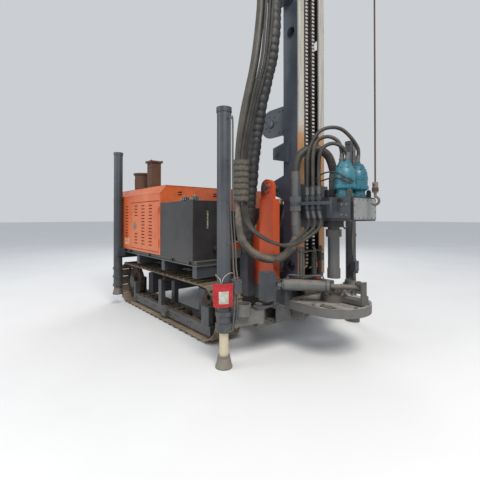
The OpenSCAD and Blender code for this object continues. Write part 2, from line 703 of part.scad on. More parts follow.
// a round tube through a list of points: places, directions and rings
function at_curve(p, t) = let(n = len(p) - 1, i = min(floor(t), n - 1), f = t - i,
    a = p[max(i - 1, 0)], b = p[i], c = p[i + 1], d = p[min(i + 2, n)])
    0.5 * ((2 * b) + (c - a) * f + (2 * a - 5 * b + 4 * c - d) * f * f + (3 * b - a - 3 * c + d) * f * f * f);
function unit(v) = v / norm(v);
function side_of(n, t) = unit(n - (n * t) * t);
function sides_of(T, n, i = 0, out = []) = i == len(T) ? out
    : let(m = side_of(n, T[i])) sides_of(T, m, i + 1, concat(out, [m]));
module hose(p, d, rings, k = 8) {
    n = len(p) - 1;
    C = [for (i = [0 : rings]) at_curve(p, i * n / rings)];
    T = [for (i = [0 : rings]) unit(i == 0 ? p[1] - p[0] : i == rings ? p[n] - p[n - 1] : C[i + 1] - C[i - 1])];
    N = sides_of(T, [0.3, 1, 0.2]);
    pts = [for (i = [0 : rings], j = [0 : k - 1]) let(b = cross(T[i], N[i]), w = j * 360 / k)
        C[i] + d / 2 * (N[i] * cos(w) + b * sin(w))];
    sides = [for (i = [0 : rings - 1], j = [0 : k - 1]) each [
        [i * k + j, i * k + (j + 1) % k, (i + 1) * k + (j + 1) % k],
        [i * k + j, (i + 1) * k + (j + 1) % k, (i + 1) * k + j]]];
    polyhedron(pts, concat(sides, [[for (j = [k - 1 : -1 : 0]) j]], [[for (j = [0 : k - 1]) rings * k + j]]));
}
main_route = [[-10, -550, bracket_z - 0.3], [-10, -550, 3300], [-40, -600, 2800], [-130, -670, 2250], [-173, -689, 1850],
    [-173, -689, 1430], [-150, -662, 1070], [-10, -520, 905], [135, -365, 930], [204, -291, 1090], [205, -290, 1209.5]];
small_route = [[80, -480, bracket_z - 0.3], [80, -480, 3300], [55, -520, 2800], [-30, -580, 2400], [-135, -629, 1870],
    [-135, -629, 1430], [-100, -590, 1210], [40, -480, 1070], [215, -400, 1045], [335, -275, 1200],
    [335, -275, 1349.5]];
small_gap = [[0, -42, 0], [0, -42, 0], [4, -42, 0], [10, -40, 0], [16, -39, 0], [16, -39, 0], [20, -36, 0], [30, -34, 0],
    [48, -26, 0], [65, 0, 0], [65, 0, 0]];
bundle_route = [[30, -400, bracket_z - 0.3], [30, -400, 3300], [0, -415, 2900], [-110, -450, 2450], [-190, -470, 2000],
    [-260, -466, 1500], [-320, -455, 1080], [-320, -455, valve_z + 0.5]];
motor_top = box_top + 334;
head_routes = [
    [[465, -275, 1500.3], [465, -275, 1800], [490, -252, 1920], [555, -190, 1962], [620, -132, 1920], [646, -108, 1850],
        [646, -108, motor_top + 0.3]],
    [[400, -275, 1500.3], [400, -275, 1850], [425, -253, 1990], [495, -190, 2035], [565, -130, 1990], [590, -108, 1890],
        [590, -108, motor_top + 0.3]],
    [[335, -275, 1500.3], [335, -275, 1640], [345, -265, 1920], [410, -170, 2110], [520, -10, 2130], [618, 108, 1960],
        [618, 108, motor_top + 0.3]]];
elbow_route = [[205, -290, 1660.3], [205, -290, 1760], [225, -260, 1890], [300, -155, 1960], [390, -45, 1900], [430, 0, 1740],
    [430, 0, 1636.3]];

rope_route = [[rope_drum, 0, winch_z], [rope_back, 0, guide_z], [rope_back, 0, 4000], [rope_back, 0, sheave_z], [sheave_back - 57, 0, sheave_z + 57],
    [sheave_back, 0, sheave_z + 80], [sheave_front, 0, sheave_z + 80], [sheave_front + 57, 0, sheave_z + 57],
    [rope_front, 0, sheave_z], [rope_front, 0, 1600]];
module hoist_rope() color(steel) rig() {
    C = rope_route;
    k = 6;
    r = len(C) - 1;
    T = [for (i = [0 : r]) unit(C[min(i + 1, r)] - C[max(i - 1, 0)])];
    pts = [for (i = [0 : r], j = [0 : k - 1]) let(n = [0, 1, 0], b = cross(T[i], n), w = j * 360 / k)
        C[i] + rope_r * (n * cos(w) + b * sin(w))];
    sides = [for (i = [0 : r - 1], j = [0 : k - 1]) each [
        [i * k + j, i * k + (j + 1) % k, (i + 1) * k + (j + 1) % k],
        [i * k + j, (i + 1) * k + (j + 1) % k, (i + 1) * k + j]]];
    polyhedron(pts, concat(sides, [[for (j = [k - 1 : -1 : 0]) j]], [[for (j = [0 : k - 1]) r * k + j]]));
}
module hook_block() color(post_red) rig() {
    zbar(rope_front, 0, 24, 1510, 1600);
    translate([rope_front, 0, 1440]) rotate([90, 0, 0]) rotate([0, 0, -150]) rotate_extrude(angle = 240)
        translate([34, 0]) circle(r = 11);
    zbar(rope_front, 0, 12, 1470, 1512);
}

module head_carriage() color(slate) rig() {
    bx(mast_front + 6, mast_front + 34, -box_y, box_y, 1200, 1620);
    both() {
        bx(mast_front + 34, box_front, -box_y - 18, -box_y, 1290, 1430);
        bx(mast_front + 6, mast_front + 34, -box_y - 18, -box_y, 1200, 1620);
        for (z = [1200, 1500]) {
            bx(mast_front + pad_gap, mast_front + 6, -mast_y + 12, -slot_y - 12, z, z + 120);
            bx(lip_back - 20, mast_front + 6, -slot_y + 6, -slot_y + 22, z, z + 120);
            bx(lip_back - 20, lip_back - 5, -slot_y - 40, -slot_y + 6, z, z + 120);
        }
    }
    bx(mast_front - 30, mast_front + 6, -25, 25, 1340, 1480);
    bx(mast_front + 34, box_back, -box_y, box_y, 1300, 1420);
    difference() {
        union() {
            bx(pipe_a + 20, 615, -port_y - 20, -port_y + 20, 1410, 1440);
            bx(595, 615, -port_y - 24, -box_y - 17, 1350, 1470);
            bx(pipe_a, pipe_a + 30, -pipe_y, -box_y - 17, 1410, 1440);
            zbar(pipe_a, -pipe_y, nut_r, 1410, 1440);
        }
        zbar(pipe_a, -pipe_y, pipe_r + 0.3, 1400, 1450);
    }
    for (x = port_a) {
        zbar(x, -port_y, 17, port_low, port_high);
        for (z = [port_low + 20, port_high - 46]) translate([x, -port_y, z]) cylinder(r = 24, h = 26, $fn = 6);
    }
}
module gearbox() color(grey) rig() difference() {
    union() {
        bx(box_back, box_front, -box_y, box_y, box_z, box_top);
        bx(box_front, box_front + 16, -box_y + 14, box_y - 14, box_z + 12, box_top - 12);
        zbar(drill_a, 0, 96, box_z - 60, box_z);
        zbar(drill_a, 0, 88, box_top, box_top + 78);
    }
    zbar(drill_a, 0, spindle_d / 2 + fit, box_z - 70, box_z + 10);
    zbar(drill_a, 0, spindle_d / 2 + 12, box_z + 5, box_top + 70);
}
module drive_motors() color(teal) rig() both() one_motor();
module one_motor() {
    bx(motor_a - 84, motor_a + 84, -motor_y - 84, -motor_y + 84, box_top, box_top + 24);
    zbar(motor_a, -motor_y, 72, box_top + 24, box_top + 130);
    bx(motor_a - 74, motor_a + 74, -motor_y - 74, -motor_y + 74, box_top + 130, box_top + 250);
    zbar(motor_a, -motor_y, 58, box_top + 250, box_top + 334);
}
module standpipe() color(steel) rig() {
    zbar(pipe_a, -pipe_y, pipe_r, 1210, 1660);
    for (z = [1356, 1440.3]) translate([pipe_a, -pipe_y, z]) cylinder(r = nut_r, h = 53.7, $fn = 6);
    zbar(drill_a, 0, 44, box_top + 78, 1636);
}
module spindle() color(steel) rig() difference() {
    union() {
        zbar(drill_a, 0, spindle_d / 2, spindle_end, box_top + 60);
        zbar(drill_a, 0, 74, 1110, 1180);
        zbar(drill_a, 0, 62, spindle_end, spindle_end + 90);
    }
    zbar(drill_a, 0, spindle_bore / 2, spindle_end - 1, box_top + 50);
    translate([drill_a, 0, spindle_end - 1]) cylinder(r1 = 46, r2 = spindle_bore / 2, h = 80);
}

module wrench_ring() color(rusty) rig() translate([drill_a, 0, 0]) {
    difference() {
        union() {
            zbar(0, 0, ring_d / 2, table_z + 0.5, table_z + 66);
            bx(0, wrench_r, -45, 45, table_z + 14, table_z + 56);
            bx(wrench_r + 38, wrench_r + 54, -40, 40, table_z + 14, wrench_z + 52);
            bx(wrench_r, wrench_r + 40, -45, 45, table_z + 14, table_z + 56);
            for (z = [wrench_z - 48, wrench_z + 24]) {
                zbar(wrench_r, 0, 32, z, z + 24);
                bx(wrench_r, wrench_r + 40, -32, 32, z, z + 24);
            }
            zbar(wrench_r, 0, 18, wrench_z - 54, wrench_z - 48);
            zbar(wrench_r, 0, 18, wrench_z + 48, wrench_z + 56);
        }
        zbar(0, 0, 72, table_z, table_z + 80);
    }
    difference() {
        zbar(0, 0, table_bore / 2 - fit, table_z - 30, table_z + 10);
        zbar(0, 0, 72, table_z - 40, table_z + 20);
    }
    zbar(40, 82, 17, table_z + 60, table_z + 150);
}
module wrench_line() translate([wrench_a, -wrench_y, wrench_z]) rotate([0, 0, wrench_turn]) children();
barrel_l = 440;
module xbar(x0, x1, r) translate([x0, 0, 0]) rotate([0, 90, 0]) cylinder(r = r, h = x1 - x0);
module wrench_barrel() color(slate) rig() wrench_line() difference() {
    union() {
        xbar(40, barrel_l, wrench_d / 2);
        translate([0, 0, -18]) cylinder(r = 30, h = 36);
        bx(0, 60, -24, 24, -18, 18);
        xbar(barrel_l, barrel_l + 26, wrench_d / 2 + 4);
    }
    xbar(70, barrel_l - 20, wrench_d / 2 - 12);
    xbar(barrel_l - 30, barrel_l + 40, wrench_rod_d / 2 + fit);
    translate([0, 0, -30]) cylinder(r = 15 + fit, h = 60);
}
module wrench_rod() color(cream) rig() wrench_line() {
    xbar(barrel_l - 200, wrench_len - 15, wrench_rod_d / 2);
    translate([wrench_len, 0, -16]) cylinder(r = 27, h = 32);
    translate([wrench_len, 0, -18]) cylinder(r = 15, h = 36);
}
module lift_line() translate([lift_base_a, 0, lift_base_z]) rotate([0, lift_turn, 0]) children();
lift_l = 700;
module lift_barrel() color(slate) rig() lift_line() difference() {
    union() {
        translate([0, 0, 110]) cylinder(r = 48, h = lift_l - 110);
        translate([0, 38, 0]) rotate([90, 0, 0]) cylinder(r = 42, h = 76);
        translate([0, 0, 10]) cylinder(r = 34, h = 110);
        translate([0, 0, lift_l]) cylinder(r = 52, h = 30);
    }
    translate([0, 0, 130]) cylinder(r = 38, h = lift_l - 150);
    translate([0, 0, lift_l - 30]) cylinder(r = 25 + fit, h = 80);
    translate([0, 50, 0]) rotate([90, 0, 0]) cylinder(r = 20 + fit, h = 100);
}
module lift_rod() color(cream) rig() lift_line() {
    translate([0, 0, 500]) cylinder(r = 25, h = lift_len - 500 - 20);
    translate([0, 30, lift_len]) rotate([90, 0, 0]) cylinder(r = 36, h = 60);
    translate([0, 56, lift_len]) rotate([90, 0, 0]) cylinder(r = 22, h = 112);
}

module hose_main() color(tan_) rig() hose(main_route, 82, 20);
module hoses_small() color(black) rig() for (i = [0 : 2])
    hose([for (k = [0 : len(small_route) - 1]) small_route[k] + i * small_gap[k]], 28, 10);
module hose_bundle() color(black) rig() hose(bundle_route, 140, 7);
module hoses_head() color(black) rig() {
    for (p = head_routes) hose(p, 34, 6);
    hose(elbow_route, 80, 6);
}
module hose_wrap() color(tan_) rig() translate([-151, -680, 0]) difference() {
    zbar(0, 0, 75, 1445, 1850);
    zbar(0, 0, 71, 1440, 1855);
}

track_right();
track_left();
track_chains();
track_frames();
track_wheels();
lower_frame();
deck();
engine_block();
hood_roof();
hood_front_wall();
hood_sides();
hood_rear_grille();
exhaust_pipe();
air_cleaner();
oil_tank();
tank_fittings();
control_console();
mast_posts();
front_beam();
drill_table();
rear_leg_tubes();
rear_leg_brackets();
leg_arm_right();
leg_arm_left();
leg_tube_right();
leg_tube_left();
jack_front_right();
jack_front_left();
jack_rear_right();
jack_rear_left();
mast_column();
mast_rails();
mast_trunnion();
feed_drive();
feed_chains();
crown();
crown_sheaves();
winch_frame();
hoist_rope();
hook_block();
winch_drum();
head_carriage();
gearbox();
drive_motors();
standpipe();
spindle();
wrench_ring();
wrench_barrel();
wrench_rod();
lift_barrel();
lift_rod();
door_right();
door_left();
hose_main();
hoses_small();
hose_bundle();
hoses_head();
hose_wrap();
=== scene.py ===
# %% [markdown]
# # A crawler rotary drilling rig
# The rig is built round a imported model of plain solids: tracks, deck, hood, mast, head, table and legs.
# Those solids give every place and size. This script gives them paint, dust and rust, and adds the small
# forms that a solid model leaves out: track links, roller chain, hose fittings, bolts, hinges and pipes.
# A mesh could be sculpted by hand, but a machine is made of turned, bent and cut parts, and each of these
# has a short formula. So every added form is worked out from its sizes.
# Places are written as (a, y, z) in metres: a runs forward from the line through the two front legs,
# y to the rig's left and z up. The drilling end faces +X.

# %% load the solids
import math

import bpy
import numpy as np
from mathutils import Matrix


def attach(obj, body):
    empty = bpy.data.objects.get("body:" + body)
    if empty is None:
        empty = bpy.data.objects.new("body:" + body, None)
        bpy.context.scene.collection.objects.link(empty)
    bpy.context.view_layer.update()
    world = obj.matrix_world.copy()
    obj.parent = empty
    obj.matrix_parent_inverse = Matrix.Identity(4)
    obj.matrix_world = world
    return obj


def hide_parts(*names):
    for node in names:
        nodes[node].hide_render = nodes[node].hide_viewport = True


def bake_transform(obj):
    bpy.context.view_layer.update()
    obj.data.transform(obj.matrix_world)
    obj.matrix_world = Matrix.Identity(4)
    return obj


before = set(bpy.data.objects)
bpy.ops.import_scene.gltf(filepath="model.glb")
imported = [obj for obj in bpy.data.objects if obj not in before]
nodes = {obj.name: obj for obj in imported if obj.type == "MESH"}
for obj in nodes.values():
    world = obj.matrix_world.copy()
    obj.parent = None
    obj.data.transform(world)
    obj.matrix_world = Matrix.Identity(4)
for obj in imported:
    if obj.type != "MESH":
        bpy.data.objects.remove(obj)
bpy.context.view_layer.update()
LEG_LINE = 1.040
X, Y, UP = np.eye(3)
ORIGIN = np.zeros(3)


def at(a, y, z):
    """A place in the rig: x = LEG_LINE + a."""
    return np.array([LEG_LINE + a, y, z], float)


def line(*points):
    """A list of (a, y, z) places as an array in the rig's frame."""
    return np.array([at(*p) for p in points])


# %% [markdown]
# ## Camera, lamps and floor
# A wide lens stands close to the right front corner at chest height, so uprights stay upright and the
# tracks run quickly away. The lens is shifted down a little, because the picture was cut off below its
# middle. The lamps are large and soft: one high in front, one on the right side and one behind. They give
# about the light of an overcast yard, so paint renders near the colour that is written for it.

# %% camera
EYE, HEADING, TILT = (3.313, -2.714, 1.300), math.radians(140.175), math.radians(0.588)
LENS, SENSOR, DOWN_SHIFT = 24.5, 36.0, -0.0552
NEAREST, FARTHEST = 0.05, 200.0
camera = bpy.data.objects.new("camera", bpy.data.cameras.new("camera"))
camera.location = EYE
camera.rotation_euler = (math.pi / 2 + TILT, 0.0, HEADING - math.pi / 2)
camera.data.lens, camera.data.sensor_width, camera.data.shift_y = LENS, SENSOR, DOWN_SHIFT
camera.data.clip_start, camera.data.clip_end = NEAREST, FARTHEST
bpy.context.scene.collection.objects.link(camera)
bpy.context.scene.camera = camera
bpy.context.scene.view_settings.view_transform = "Standard"
print("camera at", tuple(round(v, 2) for v in camera.location))


# %% lamps
def lamp(name, place, aim, size, power, tint=(1.0, 1.0, 1.0)):
    """A square area lamp at a place, turned towards an aim point."""
    data = bpy.data.lights.new(name, "AREA")
    data.size, data.energy, data.color = size, power, tint
    obj = bpy.data.objects.new(name, data)
    dx, dy, dz = np.array(aim, float) - np.array(place, float)
    obj.location = place
    obj.rotation_euler = (math.atan2(math.hypot(dx, dy), -dz), 0.0, math.atan2(-dx, dy))
    bpy.context.scene.collection.objects.link(obj)


lamp("key_lamp", (6.5, -3.0, 7.5), (0.2, -0.3, 1.2), 3.5, 700, (1.0, 0.97, 0.92))
lamp("side_lamp", (-2.5, -8.5, 4.5), (-0.6, 0.0, 1.0), 5.0, 260, (0.93, 0.96, 1.0))
lamp("back_lamp", (-6.5, 5.5, 6.5), (0.0, 0.0, 1.5), 4.0, 260, (1.0, 0.98, 0.95))
print("three large lamps")

# %% [markdown]
# The world lights the rig with a pale sky. What the camera, a mirror or glass sees of it is a plain grey
# backdrop instead: Light Path tells the two apart, and a Mix Shader picks.

# %% world and floor
SKY_LIGHT, SKY_STRENGTH = (0.80, 0.86, 0.95, 1), 0.72
BACKDROP, BACKDROP_STRENGTH = (0.60, 0.62, 0.645, 1), 1.0
FLOOR_HALF = 90.0
world = bpy.data.worlds.new("studio")
world.use_nodes = True
bpy.context.scene.world = world
sky = world.node_tree.nodes
links = world.node_tree.links
rays = sky.new("ShaderNodeLightPath")
seen = sky.new("ShaderNodeBackground")
seen.inputs[0].default_value, seen.inputs[1].default_value = BACKDROP, BACKDROP_STRENGTH
given = sky["Background"]
given.inputs[0].default_value, given.inputs[1].default_value = SKY_LIGHT, SKY_STRENGTH
pick = sky.new("ShaderNodeMixShader")
mask = rays.outputs["Is Camera Ray"]
for other in ("Is Glossy Ray", "Is Transmission Ray"):
    more = sky.new("ShaderNodeMath")
    more.operation = "ADD"
    more.use_clamp = True
    links.new(mask, more.inputs[0])
    links.new(rays.outputs[other], more.inputs[1])
    mask = more.outputs[0]
links.new(mask, pick.inputs[0])
links.new(given.outputs[0], pick.inputs[1])
links.new(seen.outputs[0], pick.inputs[2])
links.new(pick.outputs[0], sky["World Output"].inputs[0])

floor_data = bpy.data.meshes.new("floor")
corners = [(u * FLOOR_HALF, v * FLOOR_HALF, 0) for u, v in ((-1, -1), (1, -1), (1, 1), (-1, 1))]
floor_data.from_pydata(corners, [], [(0, 1, 2, 3)])
floor = bpy.data.objects.new("floor", floor_data)
bpy.context.scene.collection.objects.link(floor)
print("a pale sky, a grey backdrop and a floor")

# %% [markdown]
# ## Shapes from arrays
# Every added form is a surface of two parameters: a profile turned round an axis, a circle carried along
# a path, or an outline pushed along a depth. Each function works on whole arrays and returns points and
# faces, and a Shape gathers them and makes one mesh. Boolean cuts and bevels could do the same, but they
# leave thin faces that are hard to foresee, where an array gives each point its place.


# %% a mesh from arrays
class Shape:
    """Points, faces and one pair of map coordinates a point, gathered into one mesh."""

    def __init__(self):
        self.points, self.faces, self.maps, self.count = [], [], [], 0

    def add(self, points, faces, maps=None):
        """Adds points (n, 3) and a list of face arrays whose numbers start at 0."""
        points = np.asarray(points, float).reshape(-1, 3)
        for block in faces:
            self.faces += (np.asarray(block) + self.count).tolist()
        self.points.append(points)
        self.maps.append(np.zeros((len(points), 2)) if maps is None else maps)
        self.count += len(points)
        return self

    def make(self, name, body, finish, slot=None, angle=35.0, replaces=()):
        """The mesh object, smooth except at edges sharper than the angle, riding on its body. A body
        of four values (upper, lower, high, low) is not attached: the mesh stays where it is made."""
        mesh = bpy.data.meshes.new(name)
        mesh.from_pydata(np.concatenate(self.points).tolist(), [], self.faces)
        maps = np.concatenate(self.maps)
        corner = np.zeros(len(mesh.loops), np.int32)
        mesh.loops.foreach_get("vertex_index", corner)
        layer = mesh.uv_layers.new(name="map")
        layer.data.foreach_set("uv", maps[corner].astype(np.float32).ravel())
        mesh.polygons.foreach_set("use_smooth", np.ones(len(mesh.polygons), bool))
        mesh.set_sharp_from_angle(angle=math.radians(angle))
        mesh.materials.append(finish)
        obj = bpy.data.objects.new(name, mesh)
        bpy.context.scene.collection.objects.link(obj)
        if isinstance(body, str):
            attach(obj, body)
        else:
            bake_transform(obj)
        if replaces:
            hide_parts(*replaces)
        return obj


print("a class for meshes")


# %% grids, axes and turned parts
def grid_faces(rows, cols, wrap_rows=False, wrap_cols=False):
    """Four-cornered faces of a grid of rows by cols points, closed round where wrap says."""
    i = np.arange(rows if wrap_rows else rows - 1)[:, None]
    j = np.arange(cols if wrap_cols else cols - 1)[None, :]
    i2, j2 = (i + 1) % rows, (j + 1) % cols
    quads = [i * cols + j, i * cols + j2, i2 * cols + j2, i2 * cols + j]
    return np.stack(quads, axis=-1).reshape(-1, 4)


def end_faces(first, count):
    """The face that closes the start of a tube, and the one that closes its end, from point first on."""
    n = np.arange(count)
    return [n[::-1][None], first + n[None]]


def axes_of(axis):
    """Two unit vectors square to the axis, and the axis itself, right-handed."""
    e3 = np.asarray(axis, float) / np.linalg.norm(axis)
    pick = np.array([0.0, 0.0, 1.0]) if abs(e3[2]) < 0.9 else np.array([1.0, 0.0, 0.0])
    e1 = np.cross(pick, e3)
    e1 /= np.linalg.norm(e1)
    return e1, np.cross(e3, e1), e3


def lathe(profile, centre, axis, sides, ring=False):
    """A profile of (radius, height) turned round an axis: p = c + r cos(w) e1 + r sin(w) e2 + h e3.
    Its two ends are closed with a flat face, or with ring=True the profile closes on itself."""
    r, h = np.asarray(profile, float).T
    e1, e2, e3 = axes_of(axis)
    w = np.arange(sides) * 2 * math.pi / sides
    turn = np.cos(w)[:, None] * e1 + np.sin(w)[:, None] * e2
    points = np.asarray(centre, float) + r[:, None, None] * turn + h[:, None, None] * e3
    faces = [grid_faces(len(r), sides, wrap_rows=ring, wrap_cols=True)]
    if not ring:
        faces += end_faces((len(r) - 1) * sides, sides)
    return points.reshape(-1, 3), faces


print("grids and turned parts")


# %% paths and tubes
LEANING = np.array([0.31, 1.0, 0.23])


def smooth_path(points, count):
    """A Catmull-Rom curve through the points, at equal steps of its parameter:
    0.5 (2b + (c-a) f + (2a-5b+4c-d) f^2 + (3b-a-3c+d) f^3) on each stretch b to c."""
    p = np.asarray(points, float)
    n = len(p) - 1
    t = np.linspace(0, n, count)
    i = np.minimum(np.floor(t).astype(int), n - 1)
    f = (t - i)[:, None]
    a, b, c, d = p[np.maximum(i - 1, 0)], p[i], p[i + 1], p[np.minimum(i + 2, n)]
    return 0.5 * (
        2 * b + (c - a) * f + (2 * a - 5 * b + 4 * c - d) * f**2 + (3 * b - a - 3 * c + d) * f**3
    )


def metres_along(path):
    """The length from the path's start to each of its points."""
    steps = np.linalg.norm(np.diff(path, axis=0), axis=1)
    return np.concatenate([[0], np.cumsum(steps)])


def length_of(path):
    """The whole length of a path."""
    return float(metres_along(path)[-1])


def even_path(points, step):
    """The same curve resampled at nearly equal lengths."""
    fine = smooth_path(points, 60 * (len(points) - 1) + 1)
    run = metres_along(fine)
    count = max(4, int(round(run[-1] / step)) + 1)
    s = np.linspace(0, run[-1], count)
    return np.stack([np.interp(s, run, fine[:, k]) for k in range(3)], axis=1)


def tube(path, radius, sides, caps=True):
    """A circle carried along a path: p = c(s) + r(s) (cos(w) n + sin(w) b), with n square to the path on
    the side of LEANING, a direction that no path takes.
    radius is one number or an array of (rings,) or (rings, sides). The map is (turn, metres along)."""
    path = np.asarray(path, float)
    t = np.gradient(path, axis=0)
    t[0], t[-1] = path[1] - path[0], path[-1] - path[-2]
    t /= np.linalg.norm(t, axis=1)[:, None]
    n = LEANING - (t @ LEANING)[:, None] * t
    n /= np.linalg.norm(n, axis=1)[:, None]
    b = np.cross(t, n)
    w = np.arange(sides) * 2 * math.pi / sides
    r = np.asarray(radius, float)
    r = np.broadcast_to(r.reshape(-1, 1) if r.ndim == 1 else r, (len(path), sides))
    ring = np.cos(w)[None, :, None] * n[:, None] + np.sin(w)[None, :, None] * b[:, None]
    points = path[:, None] + r[:, :, None] * ring
    faces = [grid_faces(len(path), sides, wrap_cols=True)]
    if caps:
        faces += end_faces((len(path) - 1) * sides, sides)
    maps = np.broadcast_arrays(np.abs(w / math.pi - 1)[None, :], metres_along(path)[:, None])
    return points.reshape(-1, 3), faces, np.stack(maps, axis=-1).reshape(-1, 2)


print("paths and tubes")


# %% plates, boxes and copies
def plate(outline, origin, e1, e2, depth, edge=0.0015):
    """An outline in the plane of e1 and e2 pushed depth along e1 x e2, its edges cut by a small
    chamfer. The outline runs anticlockwise; each chamfer ring moves the corners in by the edge."""
    q, e3 = np.asarray(outline, float), np.cross(e1, e2)
    ahead = np.roll(q, -1, axis=0) - q
    ahead /= np.linalg.norm(ahead, axis=1)[:, None]
    side = np.stack([-ahead[:, 1], ahead[:, 0]], axis=1)
    both = side + np.roll(side, 1, axis=0)
    inward = both / np.maximum((both * side).sum(axis=1), 0.35)[:, None]
    small = q + edge * inward
    rings = [(small, 0.0), (q, edge), (q, depth - edge), (small, depth)]
    points = np.concatenate([origin + r[:, :1] * e1 + r[:, 1:] * e2 + h * e3 for r, h in rings])
    n = len(q)
    return points, [grid_faces(4, n, wrap_cols=True), *end_faces(3 * n, n)]


def block(low, high, edge=0.002):
    """A box from two corners in (a, y, z), with cut edges."""
    low, high = at(*low), at(*high)
    dx, dy, dz = high - low
    c = min(edge, dx / 4, dy / 4)
    outline = [(c, 0), (dx - c, 0), (dx, c), (dx, dy - c), (dx - c, dy), (c, dy), (0, dy - c), (0, c)]
    return plate(outline, low, X, Y, dz, min(edge, dz / 4))


def side_block(side, a, out, z, edge=0.002):
    """A box on the right (side -1) or left (side 1), from its ranges of a, of the distance out from the
    middle plane, and of z."""
    near, far = sorted((side * out[0], side * out[1]))
    return block((a[0], near, z[0]), (a[1], far, z[1]), edge)


def joined(*parts):
    """Several shapes as one, their faces grouped by the number of corners."""
    shape, groups = Shape(), {}
    for part in parts:
        shape.add(*part[:2])
    for face in shape.faces:
        groups.setdefault(len(face), []).append(face)
    return np.concatenate(shape.points), [np.array(group) for group in groups.values()]


def prism(outline, origin, e1, e2, depth):
    """An outline pushed straight along e1 x e2, for parts too small to need a cut edge."""
    q = np.asarray(outline, float)
    flat = origin + q[:, :1] * e1 + q[:, 1:] * e2
    n = len(q)
    faces = [grid_faces(2, n, wrap_cols=True), *end_faces(n, n)]
    return np.concatenate([flat, flat + depth * np.cross(e1, e2)]), faces


def repeat(shape, places, turns=None):
    """Copies of one shape: place i + points turned by matrix i. Returns points and faces."""
    points, faces = shape[:2]
    places = np.asarray(places, float).reshape(-1, 3)
    if turns is None:
        turns = np.broadcast_to(np.eye(3), (len(places), 3, 3))
    out = places[:, None] + np.einsum("nij,kj->nki", turns, points)
    step = np.arange(len(places))[:, None, None] * len(points)
    blocks = [(np.asarray(f)[None] + step).reshape(-1, np.asarray(f).shape[1]) for f in faces]
    return out.reshape(-1, 3), blocks


def around(centre, radius, count, start=0.0, axes=(X, Y)):
    """Places at equal steps on a circle: c + r cos(w) e1 + r sin(w) e2, level unless told otherwise."""
    w = start + np.arange(count) * 2 * math.pi / count
    return centre + radius * (np.cos(w)[:, None] * axes[0] + np.sin(w)[:, None] * axes[1])


def bolts(places, axis, across=0.018, high=0.010):
    """Hexagon heads with a washer at many places, standing along one axis."""
    r = across / 2 / math.cos(math.pi / 6)
    head = lathe([(r, 0.0), (r, high * 0.8), (r * 0.82, high)], ORIGIN, axis, 6)
    washer = lathe([(r * 1.25, -0.001), (r * 1.25, 0.0018), (r, 0.0018)], ORIGIN, axis, 14)
    return joined(repeat(head, places), repeat(washer, places))


def rounded(width, height, radius, corner=4):
    """The outline of a rectangle with round corners, anticlockwise, centred on zero."""
    w = np.linspace(0, math.pi / 2, corner)
    arc = radius * np.stack([np.cos(w), np.sin(w)], axis=1)
    hw, hh = width / 2 - radius, height / 2 - radius
    quarter = np.array([[0, 1], [-1, 0]])
    parts = []
    for centre in ((hw, hh), (-hw, hh), (-hw, -hh), (hw, -hh)):
        parts.append(np.array(centre) + arc)
        arc = arc @ quarter
    return np.concatenate(parts)


print("plates, boxes, copies and bolts")

# %% [markdown]
# ## Paint, dust and rust
# A finish is a small tree of nodes. The class Val wraps a socket, so shader sums are written as plain
# sums; Finish makes any other node with one method. All patterns read Object coordinates, which are
# metres in the rig's own frame, so dust gathers near the ground and rust runs down on every piece alike.
# Painted pictures would need an unwrapped map on every piece; noise in space fits any shape as it is.


# %% shader tools
def srgb(colour):
    """A colour as seen on a screen, three numbers from 0 to 255, made linear."""
    c = np.array(colour) / 255.0
    c = np.where(c <= 0.04045, c / 12.92, ((c + 0.055) / 1.055) ** 2.4)
    return tuple(float(v) for v in c) + (1.0,)


def darker(colour, share):
    """A colour dimmed to a share of its light."""
    return tuple(share * c for c in colour[:3]) + (1.0,)


class Val:
    """A number socket: + - * / with another socket or a number adds one Math node."""

    def __init__(self, finish, socket):
        self.finish, self.socket = finish, socket

    def maths(self, operation, *values):
        """One Math node on the values."""
        return self.finish.node("ShaderNodeMath", {"operation": operation}, values)

    def __add__(self, other):
        return self.maths("ADD", self, other)

    def __sub__(self, other):
        return self.maths("SUBTRACT", self, other)

    def __rsub__(self, other):
        return self.maths("SUBTRACT", other, self)

    def __mul__(self, other):
        return self.maths("MULTIPLY", self, other)

    def __truediv__(self, other):
        return self.maths("DIVIDE", self, other)

    __radd__, __rmul__ = __add__, __mul__

    def least(self, other):
        """The smaller of the two."""
        return self.maths("MINIMUM", self, other)

    def sine(self):
        """The sine of the value in radians."""
        return self.maths("SINE", self)

    def part(self):
        """What is left after the whole number, from 0 to 1."""
        return self.maths("FRACT", self)

    def rise(self, low, high):
        """0 below low, 1 above high, smooth between."""
        smooth = {"interpolation_type": "SMOOTHSTEP"}
        return self.finish.node("ShaderNodeMapRange", smooth, {0: self, 1: low, 2: high})


